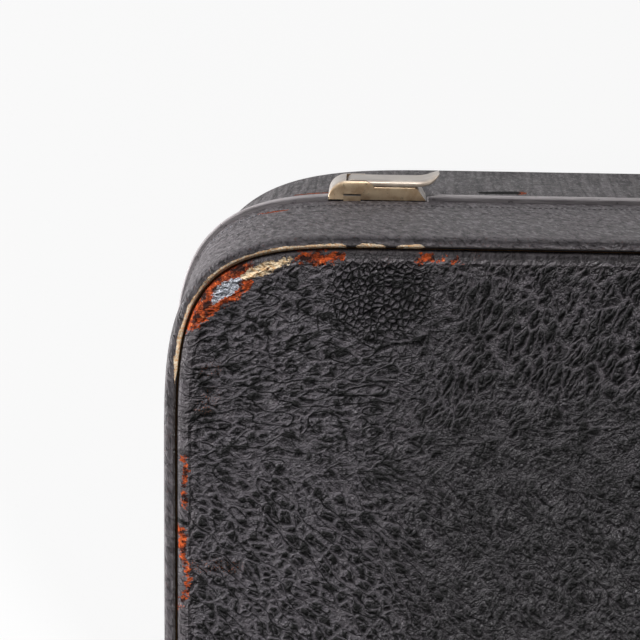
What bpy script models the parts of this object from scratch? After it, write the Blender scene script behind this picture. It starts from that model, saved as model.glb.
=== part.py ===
"""A leather suitcase lying on its back half, in metres, +Z up.

X runs along the width. The handle, lock and catches are at -Y and the hinges at +Y. The back half is
the base and the front half is the lid. A level is a distance from the seam towards a half's panel.
"""

import math

import bmesh
import bpy
from mathutils import Matrix, Vector

# The case
case_width = 0.600
case_height = 0.400
base_depth = 0.088
lid_depth = 0.083
corner_reach = 0.110
back_corner_reach = 0.146
corner_power = 4.0
corner_steps = 9

# Clearances
fit_gap = 0.0003
seam_gap = 0.0006
running_gap = 0.0005
overrun = 0.002

# Walls
leather_thickness = 0.0016
frame_thickness = 0.008
board_thickness = 0.003
lining_thickness = 0.001
cap_thickness = 0.0012
lid_cap_thickness = 0.001

# Rim and panel
rim_width = 0.0052
rim_radius = 0.0042
panel_gap = 0.0008
panel_proud = 0.002
panel_edge_radius = 0.0037

# Strip at the seam
binding_proud = 0.0026
binding_depth = 0.006
binding_radius = 0.0012
notch_depth = 0.0006

# Pocket in the lid
pocket_width = 0.46
pocket_height = 0.21
pocket_thickness = 0.004
pocket_shift = 0.055

# Rivets
rivet_radius = 0.0012
rivet_head_radius = 0.0026
rivet_head_height = 0.0011

# Hinges
hinge_x = 0.165
hinge_width = 0.044
hinge_leaf_height = 0.024
hinge_leaf_thickness = 0.0012
knuckle_radius = 0.0032
middle_knuckle_width = 0.018
hinge_pin_radius = 0.0013
hinge_pin_head_radius = 0.0024
hinge_pin_head_length = 0.001
hinge_rivet_spacing = 0.028
hinge_rivet_height = 0.0145

# Lever catches; along is measured from the outer end towards the middle of the case
latch_inset = 0.0699
latch_length = 0.046
latch_depth = 0.019
latch_front_height = 0.0066
latch_height = 0.0095
latch_wall = 0.0008
latch_end_wall = 0.0016
latch_end_slant = 0.0055
lever_along = 0.0087
lever_thickness = 0.0012
lever_length = 0.0434
lever_front_margin = 0.00025
lever_front_start = 0.0066
lever_front_sweep = 0.004
lever_curl_height = 0.0034
lever_curl_length = 0.011
lever_knuckle_radius = 0.0026
lever_pin_radius = 0.0008
lever_nose_length = 0.001
lever_nose_width = 0.0012
lever_side_margin = 0.0022
lever_slot_drop = 0.0024
striker_width = 0.008
striker_thickness = 0.0006
striker_length = 0.0095
striker_lip = 0.0006
striker_root = 0.006
latch_spring_thickness = 0.0005
latch_spring_width = 0.005
latch_spring_length = 0.015
latch_spring_lead = 0.001

# Centre lock
lock_width = 0.056
lock_depth = 0.024
lock_height = 0.0045
lock_wall = 0.0008
lock_ear_width = 0.0075
slide_travel = 0.005
slide_length = 0.018
slide_depth = 0.006
slide_button_height = 0.0022
slide_button_width = 0.0055
slide_button_depth = 0.003
lock_spring_thickness = 0.0004
lock_spring_length = 0.009
staple_width = 0.003
staple_depth = 0.0045
staple_reach = 0.0021
staple_drop = 0.0125

# Hasp
hasp_width = 0.020
hasp_length = 0.023
hasp_thickness = 0.001
hasp_plate_width = 0.046
hasp_plate_height = 0.019
hasp_pin_radius = 0.0009
hasp_axis_level = 0.0046
hasp_rivet_inset = 0.0052

# Handle
handle_span = 0.128
handle_reach = 0.031
handle_level = 0.039
handle_out = 0.0095
handle_arch_power = 2.5
handle_stations = 12
tangent_turn = 0.5
core_radius = 0.002
core_turn = 3.0
eye_radius = 0.0042
eye_width = 0.005
grip_end_radius = 0.0046
grip_out_radius = 0.0082
grip_in_radius = 0.0066
ferrule_radius = 0.0054
ferrule_turn = 6.0
ferrule_gap_turn = 1.0
grip_turn = 27.0
grip_swell_power = 0.6
post_plate_width = 0.030
post_plate_height = 0.016
post_plate_thickness = 0.0012
post_ear_thickness = 0.0016
handle_pin_radius = 0.0014
handle_pin_head_radius = 0.0024
handle_pin_head_length = 0.0009

# Shares of the sizes that they follow
rivet_dome_shares = (0.86, 0.6, 0.45)
leaf_root_share = 0.3
dome_reach_share = 0.22
latch_section_shares = (0.0, 0.02, 0.07, 0.14, 0.22, 1.0)
slant_shares = (0.25, 0.8)
outer_end_shares = ((0.02, 0.35), (0.12, 0.62), (0.32, 0.84), (0.62, 0.96), (0.95, 1.0))
cavity_shoulder_share = 0.45
cavity_rise_share = 0.5
curl_shares = (0.0, 0.35, 0.7, 1.0)
spring_shares = (0.0, 0.25, 0.5, 0.75, 1.0)
ear_rivet_share = 0.6
hasp_ear_share = 0.55

# Counts of flat sides
round_sides = 12
rivet_sides = 8
arc_steps = 3
hidden_arc_steps = 2
ear_steps = 6
smooth_angle = 35.0

# Places worked out from the sizes above
seam_z = base_depth + panel_proud
lid_seam_z = seam_z + seam_gap
frame_out = -(leather_thickness + fit_gap)
frame_in = frame_out - frame_thickness
lining_out = frame_in - fit_gap
lining_in = lining_out - lining_thickness
panel_out = -(rim_width + panel_gap)
quarter_turn = math.pi / 2
latch_outer_x = case_width / 2 - latch_inset
hinge_axis_out = fit_gap + knuckle_radius
hinge_axis_z = (seam_z + lid_seam_z) / 2
hasp_knuckle_radius = (lock_height + hasp_thickness) / 2
hasp_axis_out = fit_gap + hasp_knuckle_radius
hasp_axis_z = lid_seam_z + hasp_axis_level
handle_axis_z = seam_z - handle_level


def clear_scene():
    for thing in list(bpy.data.objects):
        bpy.data.objects.remove(thing, do_unlink=True)


def finish(name, colour, roughness, metallic):
    material = bpy.data.materials.new(name)
    material.use_nodes = True
    shader = material.node_tree.nodes["Principled BSDF"]
    shader.inputs["Base Color"].default_value = (*colour, 1.0)
    shader.inputs["Roughness"].default_value = roughness
    shader.inputs["Metallic"].default_value = metallic
    return material


def make_object(name, bm, material):
    """The bmesh as an object, its faces turned out and its round sides shaded smooth."""
    bmesh.ops.recalc_face_normals(bm, faces=bm.faces)
    mesh = bpy.data.meshes.new(name)
    bm.to_mesh(mesh)
    bm.free()
    mesh.shade_smooth()
    mesh.set_sharp_from_angle(angle=math.radians(smooth_angle))
    made = bpy.data.objects.new(name, mesh)
    bpy.context.scene.collection.objects.link(made)
    if material:
        mesh.materials.append(material)
    return made


def make_tool(name, bm):
    """An object that only cuts another or is joined to it."""
    tool = make_object(name, bm, None)
    tool.hide_render = True
    tool.display_type = "WIRE"
    return tool


def combine(target, tool, operation="DIFFERENCE"):
    step = target.modifiers.new(tool.name, "BOOLEAN")
    step.operation = operation
    step.solver = "EXACT"
    step.object = tool


def set_origin(thing, place):
    thing.data.transform(Matrix.Translation(-place))
    thing.location = place


def add_loft(bm, rings, closed=False):
    """Faces between rings of points, joined last to first, or with a flat face at each end."""
    rows = [[bm.verts.new(point) for point in ring] for ring in rings]
    pairs = list(zip(rows, rows[1:]))
    if closed:
        pairs.append((rows[-1], rows[0]))
    for first, second in pairs:
        for i in range(len(first)):
            j = (i + 1) % len(first)
            bm.faces.new((first[i], first[j], second[j], second[i]))
    if not closed:
        bm.faces.new(rows[0])
        bm.faces.new(rows[-1])


def add_box(bm, low, high):
    plan = ((low.x, low.y), (high.x, low.y), (high.x, high.y), (low.x, high.y))
    lower = [(x, y, low.z) for x, y in plan]
    upper = [(x, y, high.z) for x, y in plan]
    add_loft(bm, [lower, upper])


def add_turned(bm, profile, start, axis, sides):
    """Rings of the profile's radii at its distances along the axis from the start."""
    turn = axis.to_track_quat("Z", "Y")
    rings = []
    for radius, along in profile:
        ring = []
        for i in range(sides):
            angle = 2 * math.pi * (i + 0.5) / sides
            spoke = Vector((radius * math.cos(angle), radius * math.sin(angle), along))
            ring.append(start + turn @ spoke)
        rings.append(ring)
    add_loft(bm, rings)


def box_object(name, low, high, material):
    bm = bmesh.new()
    add_box(bm, low, high)
    return make_object(name, bm, material)


def box_tool(name, low, high):
    bm = bmesh.new()
    add_box(bm, low, high)
    return make_tool(name, bm)


def rod_tool(name, start, end, radius, sides):
    bm = bmesh.new()
    add_turned(bm, [(radius, 0.0), (radius, (end - start).length)], start, end - start, sides)
    return make_tool(name, bm)


def front(x, out, z):
    """A place at a distance out from the band's surface on the handle side."""
    return Vector((x, -(case_height / 2 + out), z))


def back(x, out, z):
    return Vector((x, case_height / 2 + out, z))


def corners(*places):
    """The lowest and highest corners of the box round some places."""
    low = Vector([min(p[i] for p in places) for i in range(3)])
    high = Vector([max(p[i] for p in places) for i in range(3)])
    return low, high


# The box: rings and lids that follow the case's outline


def reach_at(z):
    """How far a corner reaches: the back half's corners get rounder towards its back."""
    share = min(max(1 - z / seam_z, 0.0), 1.0)
    return corner_reach + (back_corner_reach - corner_reach) * share


def corner_station(share, reach):
    """A place on the relaxed corner, from its centre, and the way it faces."""
    angle = quarter_turn * (1 - math.cos(math.pi * share)) / 2
    facing = Vector((max(math.cos(angle), 0.0), max(math.sin(angle), 0.0)))
    root = 1 / (corner_power - 1)
    place = Vector((facing.x**root, facing.y**root))
    size = (place.x**corner_power + place.y**corner_power) ** (1 / corner_power)
    return place * (reach / size), facing


def outline_stations(reach):
    """Places on the band's surface, counterclockwise, and the way each faces."""
    stations = []
    for sign_x, sign_y in ((1, 1), (-1, 1), (-1, -1), (1, -1)):
        steps = [corner_station(step / corner_steps, reach) for step in range(corner_steps + 1)]
        if sign_x * sign_y < 0:
            steps.reverse()
        for place, facing in steps:
            x = sign_x * (case_width / 2 - reach + place.x)
            y = sign_y * (case_height / 2 - reach + place.y)
            stations.append((Vector((x, y)), Vector((sign_x * facing.x, sign_y * facing.y))))
    return stations


def outline_ring(offset, z):
    return [(*(place + facing * offset), z) for place, facing in outline_stations(reach_at(z))]


def half_z(half, level):
    return seam_z - level if half == "base" else lid_seam_z + level


def outline_loft(name, half, profile, material, closed):
    rings = [outline_ring(offset, half_z(half, level)) for offset, level in profile]
    bm = bmesh.new()
    add_loft(bm, rings, closed)
    return make_object(name, bm, material)


def arc(centre, radius, start, end, steps=arc_steps):
    """Points of an arc in the section, angles in degrees from outwards towards the panel."""
    points = []
    for step in range(steps + 1):
        angle = math.radians(start + (end - start) * step / steps)
        points.append((centre[0] + radius * math.cos(angle), centre[1] + radius * math.sin(angle)))
    return points


def make_frame(half, depth, start, material):
    top = depth - leather_thickness - fit_gap
    ledge = ledge_level(depth)
    radius = rim_radius - leather_thickness - fit_gap
    profile = [(frame_in, start), (frame_out, start)]
    profile += arc((frame_out - radius, top - radius), radius, 0, 90, hidden_arc_steps)
    profile += [(-rim_width, top), (-rim_width, ledge), (frame_in, ledge)]
    return outline_loft(f"{half}_frame", half, profile, material, True)


def ledge_level(depth):
    """Where the frame carries the panel."""
    return depth + panel_proud - leather_thickness - board_thickness - fit_gap * 2


def make_band(half, depth, start, material):
    """The band leather: straight up the side, then curled over the rim to its cut edge."""
    inner_radius = rim_radius - leather_thickness
    profile = [(0.0, start)]
    profile += arc((-rim_radius, depth - rim_radius), rim_radius, 0, 90)
    profile += [(-rim_width, depth), (-rim_width, depth - leather_thickness)]
    profile += arc((-rim_radius, depth - rim_radius), inner_radius, 90, 0, hidden_arc_steps)
    profile += [(-leather_thickness, start)]
    return outline_loft(f"{half}_band_leather", half, profile, material, True)


def make_panel_leather(half, depth, material):
    face = depth + panel_proud
    skirt = ledge_level(depth) + fit_gap
    inner = panel_out - leather_thickness
    profile = [(inner, face - leather_thickness), (inner, skirt), (panel_out, skirt)]
    profile += arc((panel_out - panel_edge_radius, face - panel_edge_radius), panel_edge_radius, 0, 90)
    return outline_loft(f"{half}_panel_leather", half, profile, material, False)


def make_panel_board(half, depth, material):
    under = ledge_level(depth) + fit_gap
    edge = panel_out - leather_thickness - fit_gap
    profile = [(edge, under), (edge, under + board_thickness)]
    return outline_loft(f"{half}_panel_board", half, profile, material, False)


def make_lining(half, depth, start, material):
    """A tray whose floor lies under the panel board."""
    floor = ledge_level(depth)
    profile = [(lining_in, floor - lining_thickness), (lining_in, start)]
    profile += [(lining_out, start), (lining_out, floor)]
    return outline_loft(f"{half}_lining", half, profile, material, False)


def make_base_binding(material):
    """The cap on the base's edge, with the smooth bead that stands proud of the band."""
    proud = binding_proud - binding_radius
    profile = [(lining_in, cap_thickness), (lining_in, 0.0)]
    profile += reversed(arc((proud, binding_radius), binding_radius, 0, -90))
    profile += arc((proud, binding_depth - binding_radius), binding_radius, 0, 90)
    profile += [(fit_gap, binding_depth), (fit_gap, cap_thickness)]
    return outline_loft("base_edge_binding", "base", profile, material, True)


def make_lid_binding(material):
    profile = [(lining_in, 0.0), (frame_out, 0.0)]
    profile += [(frame_out, lid_cap_thickness), (lining_in, lid_cap_thickness)]
    return outline_loft("lid_edge_binding", "lid", profile, material, True)


def make_pocket(material):
    """The pocket's cloth as a plain slab on the lid's lining, its mouth towards the handle side."""
    lining_face = half_z("lid", ledge_level(lid_depth) - lining_thickness)
    high = Vector((pocket_width / 2, pocket_shift + pocket_height / 2, lining_face - fit_gap))
    low = Vector((-pocket_width / 2, pocket_shift - pocket_height / 2, high.z - pocket_thickness))
    return box_object("lid_pocket", low, high, material)


def make_halves(finishes):
    base_start = cap_thickness + fit_gap
    lid_start = lid_cap_thickness + fit_gap
    made = {}
    for half, depth, start, band_start in (
        ("base", base_depth, base_start, base_start),
        ("lid", lid_depth, lid_start, 0.0),
    ):
        made[f"{half}_frame"] = make_frame(half, depth, start, finishes["wood"])
        made[f"{half}_band"] = make_band(half, depth, band_start, finishes["band"])
        make_panel_leather(half, depth, finishes["panel"])
        make_panel_board(half, depth, finishes["board"])
        make_lining(half, depth, start, finishes["lining"])
    made["base_binding"] = make_base_binding(finishes["strip"])
    made["lid_binding"] = make_lid_binding(finishes["tape"])
    make_pocket(finishes["cloth"])
    return made


# Rivets


def rivet_holes(name, places, outward):
    """One tool that cuts every hole of a group through a plate and the band leather."""
    bm = bmesh.new()
    radius = rivet_radius + fit_gap
    depth = leather_thickness + fit_gap
    for place in places:
        start = place - outward * depth
        profile = [(radius, 0.0), (radius, depth + rivet_length())]
        add_turned(bm, profile, start, outward, rivet_sides)
    return make_tool(name, bm)


def rivet_length():
    """From the band's surface to beyond the thickest plate that a rivet holds."""
    thickest = max(hinge_leaf_thickness, post_plate_thickness, lock_wall, hasp_thickness)
    return fit_gap + thickest + overrun


def make_rivet(name, place, outward, plate_thickness, material):
    """A rivet from the inner side of the band leather to its domed head on the plate."""
    seat = fit_gap * 2 + plate_thickness
    profile = [
        (rivet_radius, -leather_thickness),
        (rivet_radius, seat),
        (rivet_head_radius, seat),
        (rivet_head_radius * rivet_dome_shares[0], seat + rivet_head_height * rivet_dome_shares[1]),
        (rivet_head_radius * rivet_dome_shares[2], seat + rivet_head_height),
    ]
    bm = bmesh.new()
    add_turned(bm, profile, place, outward, rivet_sides)
    make_object(name, bm, material)


# Hinges


def make_hinge_leaf(name, x, half, material, holes, bore):
    """A flat leaf tangent to the back of its knuckles."""
    away = -1 if half == "base" else 1
    inner, outer = fit_gap, fit_gap + hinge_leaf_thickness
    root_z = hinge_axis_z + away * (knuckle_radius * leaf_root_share)
    far_z = hinge_axis_z + away * (knuckle_radius + hinge_leaf_height)
    left, right = x - hinge_width / 2, x + hinge_width / 2
    leaf = box_object(name, *corners(back(left, inner, root_z), back(right, outer, far_z)), material)
    combine(leaf, knuckle_tool(name + "_knuckles", x, half), "UNION")
    combine(leaf, knuckle_room(name + "_room", x, half))
    combine(leaf, bore)
    combine(leaf, holes)
    return leaf


def knuckle_spans(x, half):
    """Where a leaf's own knuckles lie along the pin."""
    middle = middle_knuckle_width / 2
    if half == "lid":
        return [(x - middle, x + middle)]
    side = middle + fit_gap
    return [(x - hinge_width / 2, x - side), (x + side, x + hinge_width / 2)]


def knuckle_tool(name, x, half):
    bm = bmesh.new()
    for low, high in knuckle_spans(x, half):
        start = back(low, hinge_axis_out, hinge_axis_z)
        profile = [(knuckle_radius, 0.0), (knuckle_radius, high - low)]
        add_turned(bm, profile, start, Vector((1, 0, 0)), round_sides)
    return make_tool(name, bm)


def knuckle_room(name, x, half):
    """Boxes that clear a leaf's edge away beside the other leaf's knuckles."""
    bm = bmesh.new()
    middle, end = middle_knuckle_width / 2, hinge_width / 2 + overrun
    if half == "base":
        spans = [(x - middle - fit_gap, x + middle + fit_gap)]
    else:
        spans = [(x - end, x - middle), (x + middle, x + end)]
    reach = knuckle_radius + fit_gap
    for low, high in spans:
        near = back(low, -overrun, hinge_axis_z - reach)
        far = back(high, hinge_axis_out + reach + overrun, hinge_axis_z + reach)
        add_box(bm, *corners(near, far))
    return make_tool(name, bm)


def make_hinge_pin(name, x, material):
    start = back(x - hinge_width / 2 - fit_gap - hinge_pin_head_length, hinge_axis_out, hinge_axis_z)
    shank = hinge_width + fit_gap * 2
    profile = [
        (hinge_pin_head_radius, 0.0),
        (hinge_pin_head_radius, hinge_pin_head_length),
        (hinge_pin_radius, hinge_pin_head_length),
        (hinge_pin_radius, hinge_pin_head_length + shank),
        (hinge_pin_head_radius, hinge_pin_head_length + shank),
        (hinge_pin_head_radius, hinge_pin_head_length * 2 + shank),
    ]
    bm = bmesh.new()
    add_turned(bm, profile, start, Vector((1, 0, 0)), round_sides)
    make_object(name, bm, material)


def make_hinge(side_name, side, halves, finishes):
    x = side * hinge_x
    name = f"hinge_{side_name}"
    bore = rod_tool(
        name + "_bore",
        back(x - hinge_width / 2 - overrun, hinge_axis_out, hinge_axis_z),
        back(x + hinge_width / 2 + overrun, hinge_axis_out, hinge_axis_z),
        hinge_pin_radius + fit_gap,
        round_sides,
    )
    for half, away in (("base", -1), ("lid", 1)):
        z = hinge_axis_z + away * (knuckle_radius + hinge_rivet_height)
        places = [back(x + step * hinge_rivet_spacing / 2, 0.0, z) for step in (-1, 1)]
        holes = rivet_holes(f"{name}_{half}_holes", places, Vector((0, 1, 0)))
        leaf = make_hinge_leaf(f"{name}_{half}_leaf", x, half, finishes["nickel"], holes, bore)
        if half == "lid":
            set_origin(leaf, back(x, hinge_axis_out, hinge_axis_z))
        combine(halves[f"{half}_band"], holes)
        for number, place in enumerate(places, 1):
            rivet = f"{name}_{half}_rivet_{number}"
            make_rivet(rivet, place, Vector((0, 1, 0)), hinge_leaf_thickness, finishes["nickel"])
    make_hinge_pin(name + "_pin", x, finishes["steel"])
    half_width = hinge_width / 2 + fit_gap + hinge_pin_head_length + fit_gap
    cut_notch(name + "_notch", back(x - half_width, 0, 0), back(x + half_width, 0, 0), halves)


def cut_notch(name, start, end, halves):
    """Takes the proud bead away where hardware stands on the band."""
    side = 1 if start.y > 0 else -1
    inner = side * (case_height / 2 - notch_depth)
    outer = side * (case_height / 2 + binding_proud + overrun)
    low, high = seam_z - binding_depth - overrun, seam_z + overrun
    near, far = Vector((start.x, inner, low)), Vector((end.x, outer, high))
    combine(halves["base_binding"], box_tool(name, *corners(near, far)))


# Lever catches


def latch_height_at(depth):
    """The case's height at a distance behind the seam: a quick rise, then level."""
    rise = min(depth / (latch_depth * dome_reach_share), 1.0)
    dome = math.sqrt(1 - (1 - rise) ** 2)
    return latch_front_height + (latch_height - latch_front_height) * dome


def lever_under(depth):
    """The lever strip's lower face: level with the front wall's top, then one thickness under the dome."""
    return max(latch_height_at(depth) - lever_thickness, latch_front_height)


def lever_start(depth):
    """How far from its axis the strip's front part starts: further on, the nearer it is to the seam."""
    share = min(depth / lever_side_margin, 1.0)
    return lever_front_start + lever_front_sweep * (1 - share) ** 2


def latch_step_along(depth):
    """Where the case steps down for the strip, just inside the circle that the strip's end sweeps."""
    swept = math.hypot(lever_start(depth), lever_under(depth) - lever_axis_height())
    rise = latch_height_at(depth) - lever_axis_height()
    return lever_axis_along() + math.sqrt((swept - fit_gap) ** 2 - rise**2)


def latch_case_section(depth):
    """The case seen from the seam: round outer end, level top, step for the lever, slanted inner end."""
    height = latch_height_at(depth)
    step = lever_under(depth) - fit_gap
    points = [(0.0, fit_gap)]
    for along_share, height_share in outer_end_shares:
        points.append((latch_height * along_share, fit_gap + (height - fit_gap) * height_share))
    points += [(latch_step_along(depth), height), (latch_step_along(depth), step)]
    points += [(latch_length - latch_end_slant, step)]
    points += [(latch_length - latch_end_slant * slant_shares[0], step * slant_shares[1])]
    points += [(latch_length, fit_gap)]
    return points


def latch_cavity_section(depth):
    ceiling = lever_under(depth) - fit_gap - latch_wall
    floor = fit_gap + latch_wall
    shoulder = floor + (ceiling - floor) * cavity_shoulder_share
    near, far = latch_end_wall, latch_length - latch_end_slant - latch_wall
    rise = latch_height * cavity_rise_share
    return [(near, floor), (near, shoulder), (rise, ceiling), (far, ceiling), (far, floor)]


def latch_place(side, along, out, z):
    return front(side * (latch_outer_x - along), out, z)


def latch_ring(side, section, depth):
    return [latch_place(side, along, out, seam_z - depth) for along, out in section]


def lever_axis_height():
    return latch_height - lever_knuckle_radius


def lever_axis_along():
    return lever_along + lever_knuckle_radius


def make_latch_case(name, side, material):
    bm = bmesh.new()
    depths = [latch_depth * share for share in latch_section_shares]
    add_loft(bm, [latch_ring(side, latch_case_section(depth), depth) for depth in depths])
    case = make_object(name, bm, material)
    bm = bmesh.new()
    depths = (lever_side_margin - latch_wall, latch_depth - latch_wall)
    add_loft(bm, [latch_ring(side, latch_cavity_section(depth), depth) for depth in depths])
    combine(case, make_tool(name + "_cavity", bm))
    combine(case, lever_room(name + "_lever_room", side))
    combine(case, striker_window(name + "_window", side))
    combine(case, lever_pin_bore(name + "_bore", side))
    return case


def lever_room(name, side):
    """Room for the lever's knuckle, for its nose beside it and for the strip when it stands up."""
    radius = lever_knuckle_radius + running_gap
    near = lever_side_margin - running_gap
    far = latch_depth - lever_side_margin + running_gap
    along, out = lever_axis_along(), lever_axis_height()
    bm = bmesh.new()
    start = latch_place(side, along, out, seam_z - near)
    add_turned(bm, [(radius, 0.0), (radius, far - near)], start, Vector((0, 0, -1)), round_sides)
    room = make_tool(name, bm)
    reach = max(lever_knuckle_radius + lever_nose_length + running_gap, lever_front_start)
    low = latch_place(side, along, latch_height - lever_thickness - lever_slot_drop, seam_z - near)
    high = latch_place(side, along + reach, latch_height + overrun, seam_z - far)
    combine(room, box_tool(name + "_slot", *corners(low, high)), "UNION")
    low = latch_place(side, along - radius, out, seam_z - near)
    high = latch_place(side, along + overrun, latch_height + overrun, seam_z - far)
    combine(room, box_tool(name + "_rest", *corners(low, high)), "UNION")
    return room


def striker_window(name, side):
    half = striker_width / 2 + running_gap
    along = lever_axis_along()
    floor = fit_gap + latch_wall
    ceiling = striker_top() + running_gap
    low = latch_place(side, along - half, floor, seam_z + overrun)
    high = latch_place(side, along + half, ceiling, seam_z - lever_side_margin - fit_gap)
    return box_tool(name, *corners(low, high))


def striker_base():
    """The striker's inner face stands this far out from the band."""
    return fit_gap + latch_wall + running_gap


def striker_top():
    return striker_base() + striker_thickness + striker_lip


def lever_pin_depths():
    """Where the pin starts and ends, both inside the case's walls."""
    return lever_side_margin - running_gap - latch_wall, latch_depth - latch_wall


def lever_pin_bore(name, side):
    near, far = lever_pin_depths()
    start = latch_place(side, lever_axis_along(), lever_axis_height(), seam_z - near + fit_gap)
    end = latch_place(side, lever_axis_along(), lever_axis_height(), seam_z - far - fit_gap)
    return rod_tool(name, start, end, lever_pin_radius + fit_gap, rivet_sides)


def make_lever_pin(name, side, material):
    near, far = lever_pin_depths()
    start = latch_place(side, lever_axis_along(), lever_axis_height(), seam_z - near)
    profile = [(lever_pin_radius, 0.0), (lever_pin_radius, far - near)]
    bm = bmesh.new()
    add_turned(bm, profile, start, Vector((0, 0, -1)), rivet_sides)
    make_object(name, bm, material)


def lever_strip_section(depth, start):
    """The strip's outline from its start to its curled tip, at one distance behind the seam."""
    top, under = [(start, latch_height_at(depth))], [(start, lever_under(depth))]
    level = lever_axis_along() + lever_length - lever_knuckle_radius - lever_curl_length
    for share in curl_shares:
        along = level + lever_curl_length * share
        rise = lever_curl_height * share**2
        top.append((along, latch_height_at(depth) + rise))
        under.append((along, lever_under(depth) + rise))
    return under + top[::-1]


def lever_sections():
    """The strip's depths and starts: short of the case's front part, then over the pin behind it."""
    axis = lever_axis_along()
    fronts = [lever_front_margin, lever_side_margin]
    fronts += [latch_depth * share for share in latch_section_shares]
    fronts = sorted(depth for depth in set(fronts) if lever_front_margin <= depth <= lever_side_margin)
    sections = [(depth, axis + lever_start(depth)) for depth in fronts]
    dome = latch_depth * dome_reach_share
    for depth in (lever_side_margin + fit_gap, dome, latch_depth - lever_side_margin):
        sections.append((depth, axis))
    return sections


def make_lever(name, side, material):
    """The strip, the knuckle that turns on the pin, and the short nose over the striker."""
    bm = bmesh.new()
    rings = [latch_ring(side, lever_strip_section(depth, start), depth) for depth, start in lever_sections()]
    add_loft(bm, rings)
    lever = make_object(name, bm, material)
    near, far = lever_side_margin, latch_depth - lever_side_margin
    along, out = lever_axis_along(), lever_axis_height()
    bm = bmesh.new()
    start = latch_place(side, along, out, seam_z - near)
    profile = [(lever_knuckle_radius, 0.0), (lever_knuckle_radius, far - near)]
    add_turned(bm, profile, start, Vector((0, 0, -1)), round_sides)
    knuckle = make_tool(name + "_knuckle", bm)
    tip = out - lever_knuckle_radius - lever_nose_length
    low = latch_place(side, along - lever_nose_width / 2, tip, seam_z - near - running_gap)
    high = latch_place(side, along + lever_nose_width / 2, out, seam_z - far + running_gap)
    combine(knuckle, box_tool(name + "_nose", *corners(low, high)), "UNION")
    combine(lever, knuckle, "UNION")
    bore = rod_tool(
        name + "_bore",
        latch_place(side, along, out, seam_z - near + overrun),
        latch_place(side, along, out, seam_z - far - overrun),
        lever_pin_radius + fit_gap,
        rivet_sides,
    )
    combine(lever, bore)
    set_origin(lever, latch_place(side, along, out, seam_z - latch_depth / 2))
    return lever


def make_striker(name, side, halves, material):
    """A plate let into the lid's edge, with a tongue that drops into the catch and ends in a lip."""
    half = striker_width / 2
    along = lever_axis_along()
    inner, outer = striker_base(), striker_base() + striker_thickness
    under, over = lid_seam_z, lid_seam_z + striker_thickness
    low_z = lid_seam_z - striker_length
    lip_z = low_z + striker_thickness
    section = [(-striker_root, under), (inner, under), (inner, low_z), (striker_top(), low_z)]
    section += [(striker_top(), lip_z), (outer, lip_z), (outer, over), (-striker_root, over)]
    bm = bmesh.new()
    rings = [[latch_place(side, along + step * half, out, z) for out, z in section] for step in (-1, 1)]
    add_loft(bm, rings)
    striker = make_object(name, bm, material)
    set_origin(striker, latch_place(side, along, 0.0, lid_seam_z))
    low = latch_place(side, along - half - fit_gap, -striker_root - fit_gap, lid_seam_z - overrun)
    high = latch_place(side, along + half + fit_gap, overrun, over + fit_gap)
    room = box_tool(name + "_room", *corners(low, high))
    combine(halves["lid_binding"], room)
    combine(halves["lid_band"], room)


def make_latch_spring(name, side, material):
    """A bowed leaf whose raised end lies under the knuckle's nose."""
    start = lever_axis_along() - latch_spring_lead
    floor = fit_gap + latch_wall + fit_gap
    nose_tip = lever_axis_height() - lever_knuckle_radius - lever_nose_length
    rise = nose_tip - running_gap - latch_spring_thickness - floor
    top, under = [], []
    for share in spring_shares:
        along = start + latch_spring_length * share
        out = floor + rise * (1 - share) ** 2
        under.append((along, out))
        top.append((along, out + latch_spring_thickness))
    middle = latch_depth - lever_side_margin - running_gap - latch_spring_width / 2
    bm = bmesh.new()
    rings = [latch_ring(side, under + top[::-1], middle + step * latch_spring_width / 2) for step in (-1, 1)]
    add_loft(bm, rings)
    make_object(name, bm, material)


def make_latch(side_name, side, halves, finishes):
    name = f"latch_{side_name}"
    make_latch_case(name + "_case", side, finishes["nickel"])
    make_lever(name + "_lever", side, finishes["nickel"])
    make_lever_pin(name + "_pin", side, finishes["steel"])
    make_latch_spring(name + "_spring", side, finishes["steel"])
    make_striker(name + "_striker", side, halves, finishes["steel"])
    start = latch_place(side, -fit_gap, 0, 0)
    end = latch_place(side, latch_length + fit_gap, 0, 0)
    cut_notch(name + "_notch", *sorted((start, end), key=lambda place: place.x), halves)


# Centre lock and hasp


def make_lock_case(halves, finishes):
    """A shallow box under the seam, with an ear at each side for its rivet."""
    half = lock_width / 2
    bottom = seam_z - lock_depth
    ears = [front(step * (half + lock_ear_width), fit_gap, bottom) for step in (-1, 1)]
    ears[1].z = seam_z - binding_depth - fit_gap
    ears[1].y -= lock_wall
    plate = box_object("lock_case", *corners(*ears), finishes["nickel"])
    body = box_tool("lock_body", *corners(front(-half, fit_gap, bottom), front(half, lock_height, seam_z)))
    combine(plate, body, "UNION")
    near = front(-half + lock_wall, fit_gap + lock_wall, bottom + lock_wall)
    far = front(half - lock_wall, lock_height - lock_wall, seam_z - lock_wall)
    combine(plate, box_tool("lock_cavity", *corners(near, far)))
    room = staple_width / 2 + running_gap
    near = front(-room, fit_gap + lock_wall, seam_z - staple_drop - staple_depth / 2 - running_gap)
    far = front(room, lock_height + overrun, seam_z + overrun)
    combine(plate, box_tool("lock_staple_room", *corners(near, far)))
    near, far = slide_slot()
    combine(plate, box_tool("lock_slide_slot", *corners(near, far)))
    rivet_x, rivet_z = half + lock_ear_width / 2, seam_z - lock_depth * ear_rivet_share
    places = [front(step * rivet_x, 0.0, rivet_z) for step in (-1, 1)]
    holes = rivet_holes("lock_holes", places, Vector((0, -1, 0)))
    combine(plate, holes)
    combine(halves["base_band"], holes)
    for number, place in enumerate(places, 1):
        make_rivet(f"lock_rivet_{number}", place, Vector((0, -1, 0)), lock_wall, finishes["nickel"])
    start, end = front(-half - fit_gap, 0, 0), front(half + fit_gap, 0, 0)
    cut_notch("lock_notch", start, end, halves)


def slide_z():
    return seam_z - staple_drop


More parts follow.
